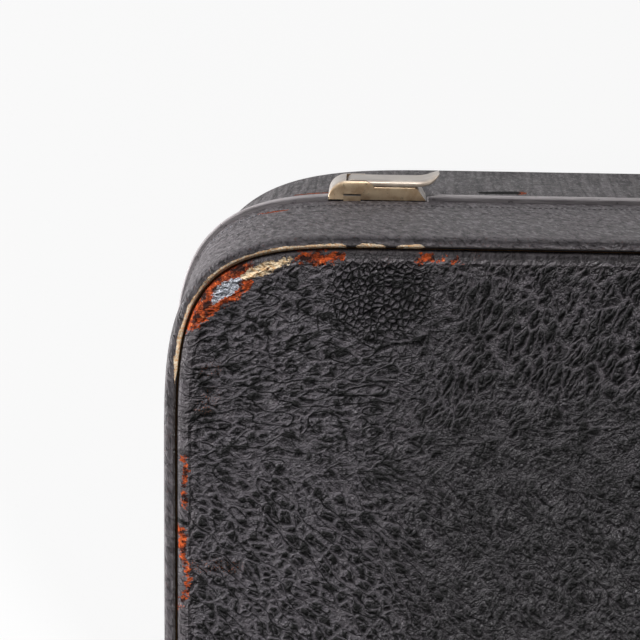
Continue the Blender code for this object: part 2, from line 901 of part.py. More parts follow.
def slide_start():
    """Where the slide's bolt end lies at rest, just beside the hasp's staple."""
    return staple_width / 2 + running_gap + fit_gap


def slide_button_x():
    return slide_start() + slide_length - slide_button_width / 2


def slide_slot():
    """The slot that the slide's button runs in, away from the middle of the lock."""
    half = slide_button_width / 2 + running_gap
    rise = slide_button_depth / 2 + running_gap
    near = front(slide_button_x() - half, lock_height - lock_wall - overrun, slide_z() - rise)
    far = front(slide_button_x() + half + slide_travel, lock_height + overrun, slide_z() + rise)
    return near, far


def lock_cavity_outs():
    """How far out a piece inside the lock starts and ends."""
    return fit_gap + lock_wall + fit_gap, lock_height - lock_wall - fit_gap


def make_slide(material):
    """The slide with its button; it runs away from the staple against its spring."""
    z = slide_z()
    inner, outer = lock_cavity_outs()
    near = front(slide_start(), inner, z - slide_depth / 2)
    far = front(slide_start() + slide_length, outer, z + slide_depth / 2)
    slide = box_object("lock_slide", *corners(near, far), material)
    half = slide_button_width / 2
    near = front(slide_button_x() - half, outer - fit_gap, z - slide_button_depth / 2)
    far = front(slide_button_x() + half, lock_height + slide_button_height, z + slide_button_depth / 2)
    combine(slide, box_tool("lock_slide_button", *corners(near, far)), "UNION")
    set_origin(slide, front(slide_button_x(), lock_height, z))


def make_lock_spring(material):
    """A bent flat spring at the end of the slide's run, its arm over the slide."""
    end = lock_width / 2 - lock_wall - fit_gap
    low_z = slide_z() - slide_depth / 2
    high_z = slide_z() + slide_depth / 2 + running_gap + lock_spring_thickness
    inner, outer = lock_cavity_outs()
    near, far = front(end - lock_spring_thickness, inner, low_z), front(end, outer, high_z)
    spring = box_object("lock_spring", *corners(near, far), material)
    near = front(end - lock_spring_length, inner, high_z - lock_spring_thickness)
    far = front(end, outer, high_z)
    combine(spring, box_tool("lock_spring_arm", *corners(near, far)), "UNION")


def make_hasp_plate(halves, finishes):
    """The plate on the lid, with a knuckle at each side of the hasp's own."""
    half = hasp_plate_width / 2
    low_z = hasp_axis_z + hasp_knuckle_radius * leaf_root_share
    high_z = lid_seam_z + hasp_plate_height
    near, far = front(-half, fit_gap, low_z), front(half, fit_gap + hasp_thickness, high_z)
    plate = box_object("lock_hasp_plate", *corners(near, far), finishes["nickel"])
    bm = bmesh.new()
    inner = hasp_width / 2 + fit_gap
    for low, high in ((-inner - hasp_ear_width(), -inner), (inner, inner + hasp_ear_width())):
        start = front(low, hasp_axis_out, hasp_axis_z)
        profile = [(hasp_knuckle_radius, 0.0), (hasp_knuckle_radius, high - low)]
        add_turned(bm, profile, start, Vector((1, 0, 0)), round_sides)
    combine(plate, make_tool("lock_hasp_plate_knuckles", bm), "UNION")
    reach = hasp_knuckle_radius + running_gap
    near = front(-inner, -overrun, hasp_axis_z - reach)
    far = front(inner, hasp_axis_out + reach + overrun, hasp_axis_z + reach)
    combine(plate, box_tool("lock_hasp_plate_room", *corners(near, far)))
    combine(plate, hasp_bore())
    rivet_z = (hasp_axis_z + reach + high_z) / 2
    places = [front(step * (half - hasp_rivet_inset), 0.0, rivet_z) for step in (-1, 1)]
    holes = rivet_holes("lock_hasp_holes", places, Vector((0, -1, 0)))
    combine(plate, holes)
    combine(halves["lid_band"], holes)
    for number, place in enumerate(places, 1):
        make_rivet(f"lock_hasp_rivet_{number}", place, Vector((0, -1, 0)), hasp_thickness, finishes["nickel"])


def hasp_ear_width():
    return (hasp_plate_width - hasp_width) / 2 * hasp_ear_share


def hasp_bore():
    reach = hasp_width / 2 + fit_gap + hasp_ear_width() + overrun
    start, end = front(-reach, hasp_axis_out, hasp_axis_z), front(reach, hasp_axis_out, hasp_axis_z)
    return rod_tool("lock_hasp_bore", start, end, hasp_pin_radius + fit_gap, rivet_sides)


def make_hasp_pin(material):
    reach = hasp_width / 2 + fit_gap + hasp_ear_width()
    start = front(-reach, hasp_axis_out, hasp_axis_z)
    bm = bmesh.new()
    profile = [(hasp_pin_radius, 0.0), (hasp_pin_radius, reach * 2)]
    add_turned(bm, profile, start, Vector((1, 0, 0)), rivet_sides)
    make_object("lock_hasp_pin", bm, material)


def make_hasp(material):
    """The hasp hangs over the lock's face, with its staple in the lock's open slot."""
    half = hasp_width / 2
    outer = hasp_axis_out + hasp_knuckle_radius
    near = front(-half, outer - hasp_thickness, hasp_axis_z - hasp_length)
    far = front(half, outer, hasp_axis_z)
    hasp = box_object("lock_hasp", *corners(near, far), material)
    bm = bmesh.new()
    start = front(-half, hasp_axis_out, hasp_axis_z)
    profile = [(hasp_knuckle_radius, 0.0), (hasp_knuckle_radius, hasp_width)]
    add_turned(bm, profile, start, Vector((1, 0, 0)), round_sides)
    combine(hasp, make_tool("lock_hasp_knuckle", bm), "UNION")
    middle = seam_z - staple_drop
    near = front(-staple_width / 2, outer - hasp_thickness / 2, middle - staple_depth / 2)
    far = front(staple_width / 2, lock_height - staple_reach, middle + staple_depth / 2)
    combine(hasp, box_tool("lock_staple", *corners(near, far)), "UNION")
    combine(hasp, bpy.data.objects["lock_hasp_bore"])
    set_origin(hasp, front(0.0, hasp_axis_out, hasp_axis_z))


def make_lock(halves, finishes):
    make_lock_case(halves, finishes)
    make_slide(finishes["nickel"])
    make_lock_spring(finishes["steel"])
    make_hasp_plate(halves, finishes)
    make_hasp_pin(finishes["steel"])
    make_hasp(finishes["nickel"])


# Handle


def handle_point(degrees):
    """A place on the handle's arch, which starts and ends on the pins, and its direction."""
    angle = math.radians(degrees)
    power = 2 / handle_arch_power
    across = math.copysign(abs(math.cos(angle)) ** power, -math.cos(angle))
    down = max(math.sin(angle), 0.0) ** power
    return front(across * handle_span / 2, handle_out, handle_axis_z - down * handle_reach)


def handle_ring(degrees, out_radius, in_radius, sides):
    along = (handle_point(degrees + tangent_turn) - handle_point(degrees - tangent_turn)).normalized()
    outward = Vector((0, -1, 0))
    inward = outward.cross(along)
    ring = []
    for i in range(sides):
        angle = 2 * math.pi * (i + 0.5) / sides
        spoke = outward * (out_radius * math.cos(angle)) + inward * (in_radius * math.sin(angle))
        ring.append(handle_point(degrees) + spoke)
    return ring


def handle_angles(start, end, count):
    return [start + (end - start) * i / count for i in range(count + 1)]


def make_core(material):
    """A steel bar through the grip, with an eye at each end for its pin."""
    ferrule_end = grip_turn - ferrule_gap_turn
    near = [core_turn, ferrule_end - ferrule_turn, ferrule_end]
    angles = near + handle_angles(grip_turn, 180 - grip_turn, handle_stations)
    angles += [180 - angle for angle in reversed(near)]
    bm = bmesh.new()
    add_loft(bm, [handle_ring(angle, core_radius, core_radius, rivet_sides) for angle in angles])
    core = make_object("handle_core", bm, material)
    bm = bmesh.new()
    for side in (-1, 1):
        start = front(side * handle_span / 2 - eye_width / 2, handle_out, handle_axis_z)
        add_turned(bm, [(eye_radius, 0.0), (eye_radius, eye_width)], start, Vector((1, 0, 0)), round_sides)
    combine(core, make_tool("handle_eyes", bm), "UNION")
    reach = handle_span / 2 + eye_width
    bore = rod_tool(
        "handle_bore",
        front(-reach, handle_out, handle_axis_z),
        front(reach, handle_out, handle_axis_z),
        handle_pin_radius + fit_gap,
        rivet_sides,
    )
    combine(core, bore)
    set_origin(core, front(0.0, handle_out, handle_axis_z))


def sleeve(name, start, end, count, radii, material):
    """A tube round the core from one angle of the arch to another."""
    outer, inner = [], []
    bore = core_radius + fit_gap
    for i, angle in enumerate(handle_angles(start, end, count)):
        out_radius, in_radius = radii(i / count)
        outer.append(handle_ring(angle, out_radius, in_radius, rivet_sides))
        inner.append(handle_ring(angle, bore, bore, rivet_sides))
    bm = bmesh.new()
    add_loft(bm, outer + inner[::-1], True)
    made = make_object(name, bm, material)
    set_origin(made, front(0.0, handle_out, handle_axis_z))


def grip_radii(share):
    swell = math.sin(math.pi * share) ** grip_swell_power
    out_radius = grip_end_radius + (grip_out_radius - grip_end_radius) * swell
    in_radius = grip_end_radius + (grip_in_radius - grip_end_radius) * swell
    return out_radius, in_radius


def ferrule_radii(share):
    return ferrule_radius, ferrule_radius


def make_grip(finishes):
    first, last = grip_turn, 180 - grip_turn
    sleeve("handle_grip", first, last, handle_stations, grip_radii, finishes["panel"])
    left_start = first - ferrule_gap_turn - ferrule_turn
    for side_name, start in (("left", left_start), ("right", last + ferrule_gap_turn)):
        name = f"handle_ferrule_{side_name}"
        sleeve(name, start, start + ferrule_turn, 1, ferrule_radii, finishes["nickel"])


def make_post(side_name, side, halves, finishes):
    """A plate on the band with two ears that hold the handle's pin."""
    x = side * handle_span / 2
    name = f"handle_post_{side_name}"
    half_x, half_z = post_plate_width / 2, post_plate_height / 2
    near = front(x - half_x, fit_gap, handle_axis_z - half_z)
    far = front(x + half_x, fit_gap + post_plate_thickness, handle_axis_z + half_z)
    post = box_object(name, *corners(near, far), finishes["nickel"])
    bm = bmesh.new()
    ear_in = eye_width / 2 + running_gap
    ear_out = ear_in + post_ear_thickness
    section = [(fit_gap, -eye_radius), (handle_out, -eye_radius)]
    for step in range(1, ear_steps):
        angle = math.pi * step / ear_steps - quarter_turn
        section.append((handle_out + eye_radius * math.cos(angle), eye_radius * math.sin(angle)))
    section += [(handle_out, eye_radius), (fit_gap, eye_radius)]
    for ends in ((-ear_out, -ear_in), (ear_in, ear_out)):
        rings = [[front(x + step, out, handle_axis_z + rise) for out, rise in section] for step in ends]
        add_loft(bm, rings)
    combine(post, make_tool(name + "_ears", bm), "UNION")
    start = front(x - ear_out - overrun, handle_out, handle_axis_z)
    end = front(x + ear_out + overrun, handle_out, handle_axis_z)
    combine(post, rod_tool(name + "_bore", start, end, handle_pin_radius + fit_gap, rivet_sides))
    rivet_step = (half_x + ear_out) / 2
    places = [front(x + step * rivet_step, 0.0, handle_axis_z) for step in (-1, 1)]
    holes = rivet_holes(name + "_holes", places, Vector((0, -1, 0)))
    combine(post, holes)
    combine(halves["base_band"], holes)
    for number, place in enumerate(places, 1):
        rivet = f"handle_{side_name}_rivet_{number}"
        make_rivet(rivet, place, Vector((0, -1, 0)), post_plate_thickness, finishes["nickel"])
    make_handle_pin(f"handle_pin_{side_name}", x, ear_out, finishes["steel"])


def make_handle_pin(name, x, ear_out, material):
    head, shank = handle_pin_head_length, (ear_out + fit_gap) * 2
    start = front(x - ear_out - fit_gap - head, handle_out, handle_axis_z)
    profile = [
        (handle_pin_head_radius, 0.0),
        (handle_pin_head_radius, head),
        (handle_pin_radius, head),
        (handle_pin_radius, head + shank),
        (handle_pin_head_radius, head + shank),
        (handle_pin_head_radius, head * 2 + shank),
    ]
    bm = bmesh.new()
    add_turned(bm, profile, start, Vector((1, 0, 0)), rivet_sides)
    make_object(name, bm, material)


def make_handle(halves, finishes):
    make_core(finishes["steel"])
    make_grip(finishes)
    for side_name, side in (("left", -1), ("right", 1)):
        make_post(side_name, side, halves, finishes)


def make_finishes():
    return {
        "panel": finish("panel_leather", (0.022, 0.021, 0.024), 0.48, 0.0),
        "band": finish("band_leather", (0.06, 0.058, 0.063), 0.52, 0.0),
        "strip": finish("seam_strip", (0.23, 0.23, 0.235), 0.4, 0.0),
        "tape": finish("edge_tape", (0.03, 0.03, 0.032), 0.7, 0.0),
        "wood": finish("frame_wood", (0.45, 0.31, 0.18), 0.65, 0.0),
        "board": finish("board", (0.32, 0.25, 0.17), 0.8, 0.0),
        "lining": finish("lining_cloth", (0.42, 0.33, 0.22), 0.85, 0.0),
        "cloth": finish("pocket_cloth", (0.40, 0.31, 0.21), 0.85, 0.0),
        "nickel": finish("nickel_plate", (0.66, 0.63, 0.58), 0.28, 1.0),
        "steel": finish("steel", (0.5, 0.49, 0.47), 0.4, 1.0),
    }


def build():
    clear_scene()
    finishes = make_finishes()
    halves = make_halves(finishes)
    for side_name, side in (("left", -1), ("right", 1)):
        make_hinge(side_name, side, halves, finishes)
        make_latch(side_name, side, halves, finishes)
    make_lock(halves, finishes)
    make_handle(halves, finishes)


build()
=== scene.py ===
import math

import bmesh
import bpy
import numpy as np
from mathutils import Euler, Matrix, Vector


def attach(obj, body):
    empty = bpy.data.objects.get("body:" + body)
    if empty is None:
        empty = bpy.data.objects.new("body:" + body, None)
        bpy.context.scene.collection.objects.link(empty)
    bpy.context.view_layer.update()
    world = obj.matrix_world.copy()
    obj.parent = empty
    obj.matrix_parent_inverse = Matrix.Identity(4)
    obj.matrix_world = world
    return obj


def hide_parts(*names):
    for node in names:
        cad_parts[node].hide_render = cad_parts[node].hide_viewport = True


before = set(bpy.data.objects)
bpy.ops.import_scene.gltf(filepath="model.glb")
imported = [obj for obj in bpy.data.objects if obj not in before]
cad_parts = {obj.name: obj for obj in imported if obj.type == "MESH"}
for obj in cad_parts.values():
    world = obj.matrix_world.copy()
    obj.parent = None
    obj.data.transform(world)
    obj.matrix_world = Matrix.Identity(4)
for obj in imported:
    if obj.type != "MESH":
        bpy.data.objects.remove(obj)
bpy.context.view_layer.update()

# The case's own sizes, in metres, as the model was drawn
case = {
    "width": 0.600, "height": 0.400, "reach": 0.110, "backReach": 0.146, "power": 4.0,
    "seam": 0.090, "lidSeam": 0.0906, "baseDepth": 0.088, "lidDepth": 0.083, "leather": 0.0016, "rim": 0.0052,
    "rimRound": 0.0027,
    "panelOut": -0.0060, "panelRadius": 0.0037, "proud": 0.002,
    "ledge": 0.0032, "liningIn": -0.0112, "gap": 0.0003,
}


def reachAt(z):
    share = np.clip(1 - np.asarray(z, float) / case["seam"], 0, 1)
    return case["reach"] + (case["backReach"] - case["reach"]) * share


# The photograph's view: metres, degrees, and millimetres for lens and sensor
view = {"place": (0.20768, -0.40040, 1.15690), "turn": (-13.5969, 1.5461, -179.2475),
        "lens": 130.0, "sensor": 36.0, "near": 0.02}
camera = bpy.data.cameras.new("view")
camera.lens, camera.sensor_width, camera.clip_start = view["lens"], view["sensor"], view["near"]
cameraObject = bpy.data.objects.new("view", camera)
cameraObject.location = view["place"]
cameraObject.rotation_euler = Euler([math.radians(a) for a in view["turn"]])
bpy.context.scene.collection.objects.link(cameraObject)
bpy.context.scene.camera = cameraObject

# Round area lamps, each aimed at a place on the photographed corner, in metres and watts
lamps = {
    "key": {"place": (-1.32, 2.47, 1.33), "aim": (0.18, -0.10, 0.15), "size": 0.7, "power": 165.0},
    "top": {"place": (0.05, -1.65, 0.16), "aim": (0.18, -0.20, 0.12), "size": 0.34, "power": 9.0},
    "side": {"place": (1.45, -0.15, 0.17), "aim": (0.28, -0.08, 0.12), "size": 0.34, "power": 21.0},
}
for name, lamp in lamps.items():
    light = bpy.data.lights.new(name, "AREA")
    light.shape, light.size, light.energy = "DISK", lamp["size"], lamp["power"]
    lightObject = bpy.data.objects.new(name, light)
    lightObject.location = lamp["place"]
    ray = Vector(lamp["aim"]) - Vector(lamp["place"])
    lightObject.rotation_euler = ray.to_track_quat("-Z", "Y").to_euler()
    lightObject.visible_camera = False
    bpy.context.scene.collection.objects.link(lightObject)

world = bpy.data.worlds.new("studio")
world.use_nodes = True
bpy.context.scene.world = world
bpy.context.scene.view_settings.view_transform = "Standard"


# A colour written as in a paint program, made linear for the renderer
def rgb(text):
    parts = [int(text[i:i + 2], 16) / 255 for i in (0, 2, 4)]
    return (*[p / 12.92 if p <= 0.04045 else ((p + 0.055) / 1.055) ** 2.4 for p in parts], 1.0)


def put(tree, kind, inputs=None, **settings):
    node = tree.nodes.new(kind)
    for key, value in settings.items():
        setattr(node, key, value)
    for key, value in (inputs or {}).items():
        socket = node.inputs[key]
        if isinstance(value, bpy.types.NodeSocket):
            tree.links.new(value, socket)
        else:
            socket.default_value = value
    return node


def calc(tree, operation, *values, clamp=False):
    inputs = dict(enumerate(values))
    return put(tree, "ShaderNodeMath", inputs, operation=operation, use_clamp=clamp).outputs[0]


def along(tree, operation, *values, **named):
    node = put(tree, "ShaderNodeVectorMath", {**dict(enumerate(values)), **named}, operation=operation)
    return node.outputs["Value" if operation in ("LENGTH", "DISTANCE", "DOT_PRODUCT") else 0]


def span(tree, value, low, high, out=(0.0, 1.0), kind="SMOOTHSTEP"):
    inputs = {"Value": value, "From Min": low, "From Max": high, "To Min": out[0], "To Max": out[1]}
    return put(tree, "ShaderNodeMapRange", inputs, interpolation_type=kind).outputs[0]


def blendValue(tree, share, first, second):
    return put(tree, "ShaderNodeMix", {0: share, 2: first, 3: second}, data_type="FLOAT").outputs[0]


def blendColour(tree, share, first, second):
    return put(tree, "ShaderNodeMix", {0: share, 6: first, 7: second}, data_type="RGBA").outputs[2]


def noise(tree, vector, scale, detail=2.0, rough=0.5, want="Fac"):
    inputs = {"Vector": vector, "Scale": scale, "Detail": detail, "Roughness": rough}
    return put(tree, "ShaderNodeTexNoise", inputs).outputs[0 if want == "Fac" else 1]


def cells(tree, vector, scale, feature="F1", want="Distance"):
    return put(tree, "ShaderNodeTexVoronoi", {"Vector": vector, "Scale": scale}, feature=feature).outputs[want]


# The vector turned in plan, then squeezed, so that a pattern runs along one way
def turned(tree, vector, angle, stretch):
    spun = put(tree, "ShaderNodeVectorRotate", {"Vector": vector, "Angle": math.radians(angle)},
               rotation_type="Z_AXIS").outputs[0]
    return along(tree, "MULTIPLY", spun, stretch)


def newGroup(name, kind, inputs, outputs):
    tree = bpy.data.node_groups.new(name, kind)
    for label, socket in inputs:
        tree.interface.new_socket(label, in_out="INPUT", socket_type=socket)
    for label, socket in outputs:
        tree.interface.new_socket(label, in_out="OUTPUT", socket_type=socket)
    start, end = tree.nodes.new("NodeGroupInput"), tree.nodes.new("NodeGroupOutput")
    return tree, start, end


def newMaterial(name, **settings):
    material = bpy.data.materials.new(name)
    material.use_nodes = True
    tree = material.node_tree
    shader = tree.nodes["Principled BSDF"]
    for key, value in settings.items():
        shader.inputs[key].default_value = value
    return material, tree, shader


def bump(tree, height, strength, distance, normal=None):
    inputs = {"Height": height, "Strength": strength, "Distance": distance}
    if normal:
        inputs["Normal"] = normal
    return put(tree, "ShaderNodeBump", inputs).outputs[0]


def objectPlace(tree):
    return put(tree, "ShaderNodeTexCoord").outputs["Object"]


def between(tree, mask, tones):
    return blendColour(tree, mask, rgb(tones[0]), rgb(tones[1]))


# A tone or colour laid over another where a mask is 1, or a share of it
def over(tree, colour, mask, tone, most=1.0):
    share = mask if most == 1.0 else calc(tree, "MULTIPLY", mask, most)
    return blendColour(tree, share, colour, rgb(tone) if isinstance(tone, str) else tone)


# Layers added up, each given as (layer, share)
def addUp(tree, *layers):
    parts = [calc(tree, "MULTIPLY", layer, share) for layer, share in layers]
    total = parts[0]
    for part in parts[1:]:
        total = calc(tree, "ADD", total, part)
    return total


# A small wandering offset, so that a pattern doesn't run straight
def drift(tree, place, scale, detail, size):
    off = along(tree, "SUBTRACT", noise(tree, place, scale, detail, want="Color"), (0.5, 0.5, 0.5))
    return along(tree, "SCALE", off, Scale=size)


def wire(tree, shader, colour, rough, normal):
    for socket, output in (("Base Color", colour), ("Roughness", rough), ("Normal", normal)):
        tree.links.new(output, shader.inputs[socket])


# Pale paper below the case. The camera sees it lighter than the lamps make it, so that the shadow alone shows
paper = {"side": 6.0, "drop": 0.0006, "tones": ("f4f4f4", "f7f7f7"), "glow": "fefefe",
         "toCamera": 0.93, "toGloss": 0.6}


def seenShare(tree, toCamera, toGloss):
    path = put(tree, "ShaderNodeLightPath")
    seen = calc(tree, "MULTIPLY", path.outputs["Is Camera Ray"], toCamera)
    return calc(tree, "ADD", seen, calc(tree, "MULTIPLY", path.outputs["Is Glossy Ray"], toGloss), clamp=True)


def makeFloor():
    material, tree, shader = newMaterial("floor_paper", Roughness=0.9)
    shader.inputs["Specular IOR Level"].default_value = 0.0
    patch = span(tree, noise(tree, objectPlace(tree), 3.0), 0.3, 0.7)
    tree.links.new(between(tree, patch, paper["tones"]), shader.inputs["Base Color"])
    glow = put(tree, "ShaderNodeEmission", {"Color": rgb(paper["glow"]), "Strength": 1.0})
    share = seenShare(tree, paper["toCamera"], paper["toGloss"])
    both = put(tree, "ShaderNodeMixShader", {0: share, 1: shader.outputs[0], 2: glow.outputs[0]})
    tree.links.new(both.outputs[0], tree.nodes["Material Output"].inputs["Surface"])
    mesh = bpy.data.meshes.new("floor")
    corners = [(x * paper["side"], y * paper["side"], -paper["drop"])
               for x, y in ((-1, -1), (1, -1), (1, 1), (-1, 1))]
    mesh.from_pydata(corners, [], [(0, 1, 2, 3)])
    mesh.materials.append(material)
    floor = bpy.data.objects.new("floor", mesh)
    bpy.context.scene.collection.objects.link(floor)


makeFloor()


# Soft light from all round, and a white background for the camera alone
air = {"tone": (0.93, 0.94, 0.96, 1), "strength": 0.08, "white": "fafafa", "toGloss": 0.3}


def makeWorld():
    tree = world.node_tree
    soft = tree.nodes["Background"]
    soft.inputs["Color"].default_value = air["tone"]
    soft.inputs["Strength"].default_value = air["strength"]
    white = put(tree, "ShaderNodeBackground", {"Color": rgb(air["white"]), "Strength": 1.0})
    share = seenShare(tree, 1.0, air["toGloss"])
    both = put(tree, "ShaderNodeMixShader", {0: share, 1: soft.outputs[0], 2: white.outputs[0]})
    tree.links.new(both.outputs[0], tree.nodes["World Output"].inputs["Surface"])


makeWorld()


# Places on a relaxed corner of reach one, from its centre, and the way each faces
def cornerUnit(shares):
    angle = math.pi / 4 * (1 - np.cos(math.pi * shares))
    facing = np.stack([np.cos(angle), np.sin(angle)], -1).clip(0, 1)
    place = facing ** (1 / (case["power"] - 1))
    size = (place ** case["power"]).sum(-1) ** (1 / case["power"])
    return place / size[..., None], facing


# The outline as a fixed part, a part that grows with the reach, and a facing. It starts in the middle
# of the hinge side
def denseOutline():
    fixed, grown, facing = [], [], []
    halfX, halfY = case["width"] / 2, case["height"] / 2
    shares = np.linspace(0, 1, 241)
    unit, face = cornerUnit(shares)

    def side(start, end, fromGrow, toGrow, way, first=0.0, last=1.0):
        t = np.linspace(first, last, 160)[:, None]
        fixed.append(np.array(start) * (1 - t) + np.array(end) * t)
        grown.append(np.array(fromGrow) * (1 - t) + np.array(toGrow) * t)
        facing.append(np.repeat([way], len(t), 0))

    def corner(signX, signY, backward):
        sign = np.array([signX, signY])
        order = slice(None, None, -1) if backward else slice(None)
        fixed.append(np.repeat([sign * (halfX, halfY)], len(shares), 0))
        grown.append((sign * (unit - 1))[order])
        facing.append((sign * face)[order])

    top, left, low, right = (0.0, 1.0), (-1.0, 0.0), (0.0, -1.0), (1.0, 0.0)
    side((halfX, halfY), (-halfX, halfY), (-1, 0), (1, 0), top, 0.5, 1.0)
    corner(-1, 1, True)
    side((-halfX, halfY), (-halfX, -halfY), (0, -1), (0, 1), left)
    corner(-1, -1, False)
    side((-halfX, -halfY), (halfX, -halfY), (1, 0), (-1, 0), low)
    corner(1, -1, True)
    side((halfX, -halfY), (halfX, halfY), (0, 1), (0, -1), right)
    corner(1, 1, False)
    side((halfX, halfY), (-halfX, halfY), (-1, 0), (1, 0), top, 0.0, 0.5)
    return np.concatenate(fixed), np.concatenate(grown), np.concatenate(facing)


dense = denseOutline()


# The part that the photograph shows, which is built finer: past this x and below this y, in plan
photoPart = {"x": 0.075, "y": 0.0, "fade": 0.03, "panelX": 0.072, "panelY": 0.003}


# How far apart places stand: closer in the photographed corner
def nearPhoto(x, y, fine, plain):
    away = np.maximum(np.maximum(photoPart["x"] - x, y - photoPart["y"]), 0)
    return fine + (plain - fine) * np.clip(away / photoPart["fade"], 0, 1)


def stationsAt(fine, plain):
    fixed, grown, facing = dense
    place = fixed + grown * case["reach"]
    step = np.linalg.norm(np.diff(place, axis=0), axis=1)
    middle = (place[1:] + place[:-1]) / 2
    run = np.concatenate([[0], np.cumsum(step / nearPhoto(middle[:, 0], middle[:, 1], fine, plain))])
    length = np.concatenate([[0], np.cumsum(step)])
    count = int(math.ceil(run[-1]))
    wanted = np.linspace(0, run[-1], count, endpoint=False)
    pick = lambda values: np.stack([np.interp(wanted, run, values[:, i]) for i in range(2)], -1)
    face = pick(facing)
    face /= np.linalg.norm(face, axis=1)[:, None]
    return {"fixed": pick(fixed), "grown": pick(grown), "facing": face,
            "length": np.interp(wanted, run, length)}


def ringAt(stations, offset, z):
    plan = stations["fixed"] + stations["grown"] * reachAt(z) + stations["facing"] * offset
    return np.concatenate([plan, np.full((len(plan), 1), z)], 1)


def meshFrom(name, points, faces):
    mesh = bpy.data.meshes.new(name)
    mesh.from_pydata(np.asarray(points).tolist(), [], faces if isinstance(faces, list) else faces.tolist())
    mesh.shade_smooth()
    made = bpy.data.objects.new(name, mesh)
    bpy.context.scene.collection.objects.link(made)
    return made


def faceOut(thing):
    bm = bmesh.new()
    bm.from_mesh(thing.data)
    bmesh.ops.recalc_face_normals(bm, faces=bm.faces)
    bm.to_mesh(thing.data)
    bm.free()


def pointsOf(mesh):
    points = np.zeros(len(mesh.vertices) * 3, np.float32)
    mesh.vertices.foreach_get("co", points)
    return points.reshape(-1, 3).astype(float)


def setValues(mesh, name, values):
    kind = "FLOAT" if values.ndim == 1 else "FLOAT_VECTOR"
    layer = mesh.attributes.new(name, kind, "POINT")
    layer.data.foreach_set("value" if kind == "FLOAT" else "vector", values.astype(np.float32).ravel())


def levelZ(half, level):
    return case["seam"] - level if half == "base" else case["lidSeam"] + level


# A closed ring body whose section follows the outline. It keeps how far along and across each point lies
def sweep(name, half, profile, stations, closed=True, squeeze=1.0):
    marks = np.repeat([float(point[2]) if len(point) > 2 else 0.0 for point in profile], len(stations["fixed"]))
    profile = [point[:2] for point in profile]
    rings = [ringAt(stations, offset, levelZ(half, level)) for offset, level in profile]
    count = len(stations["fixed"])
    steps = np.diff(np.array(profile), axis=0)
    size = np.linalg.norm(steps, axis=1)
    across = np.concatenate([[0], np.cumsum(size * (squeeze + (1 - squeeze) * np.abs(steps[:, 0]) / size))])
    points = np.concatenate(rings)
    middle = int(np.argmin(np.abs(rings[0][:, 0]) + 9 * (rings[0][:, 1] > 0)))
    runs = [np.concatenate([[0], np.cumsum(np.linalg.norm(np.diff(ring[:, :2], axis=0), axis=1))])
            for ring in rings]
    ran = np.concatenate([run - run[middle] for run in runs])
    lay = np.stack([ran, np.repeat(across, count), np.zeros(len(points))], -1)
    i = np.arange(count)
    j = (i + 1) % count
    faces = []
    rows = len(rings)
    for row in range(rows if closed else rows - 1):
        a, b = row * count, (row + 1) % rows * count
        faces.append(np.stack([a + i, a + j, b + j, b + i], 1))
    made = meshFrom(name, points, np.concatenate(faces))
    setValues(made.data, "lay", lay)
    setValues(made.data, "cut", marks)
    faceOut(made)
    return made


def arcPoints(centre, radius, start, end, steps):
    return [(centre[0] + radius * math.cos(a), centre[1] + radius * math.sin(a))
            for a in np.radians(np.linspace(start, end, steps + 1))]


# Places of a panel's flat face in plan, in rows and columns that follow its corners, and its edge loop
def panelGrid(fine, plain, reach):
    offset = case["panelOut"] - case["panelRadius"]
    halfX, halfY = case["width"] / 2 + offset, case["height"] / 2 + offset
    r = reach + offset

    def axis(half, fineFrom, fineTo):
        marks = sorted({-half, -(half - r), half - r, half} | {m for m in (fineFrom, fineTo) if abs(m) < half})
        values = [marks[0]]
        for low, high in zip(marks, marks[1:]):
            middle = (low + high) / 2
            step = fine if fineFrom <= middle <= fineTo else plain
            count = max(1, int(round((high - low) / step)))
            values += [low + (high - low) * k / count for k in range(1, count + 1)]
        return np.array(values)

    xs, ys = axis(halfX, photoPart["panelX"], 1.0), axis(halfY, -1.0, photoPart["panelY"])
    gridX, gridY = np.meshgrid(xs, ys)
    p = np.clip((np.abs(gridX) - (halfX - r)) / r, 0, 1)
    q = np.clip((np.abs(gridY) - (halfY - r)) / r, 0, 1)
    size = np.maximum(p, q)
    with np.errstate(divide="ignore", invalid="ignore"):
        turn = np.where(p >= q, q / np.maximum(p, 1e-9), 2 - p / np.maximum(q, 1e-9)) / 2
    shares = np.linspace(0, 1, 600)
    unit, face = cornerUnit(shares)
    curve = unit * reach + face * offset
    length = np.concatenate([[0], np.cumsum(np.linalg.norm(np.diff(curve, axis=0), axis=1))])
    turn = np.clip(turn, 0, 1) * length[-1]
    curveX, curveY = (np.interp(turn, length, curve[:, i]) for i in range(2))
    faceX, faceY = (np.interp(turn, length, face[:, i]) for i in range(2))
    weight = size ** 2.5
    localX = (1 - weight) * p * r + weight * size * curveX
    localY = (1 - weight) * q * r + weight * size * curveY
    inside = (p > 0) & (q > 0)
    plan = np.stack([np.where(inside, np.sign(gridX) * (halfX - r + localX), gridX),
                     np.where(inside, np.sign(gridY) * (halfY - r + localY), gridY)], -1)
    facing = np.stack([np.where(inside, faceX, p >= q) * np.sign(gridX),
                       np.where(inside, faceY, q > p) * np.sign(gridY)], -1)
    return plan, facing


# How far the corners of a panel's outer face reach
def panelReach(half):
    return float(reachAt(levelZ(half, case[half + "Depth"] + case["proud"])))


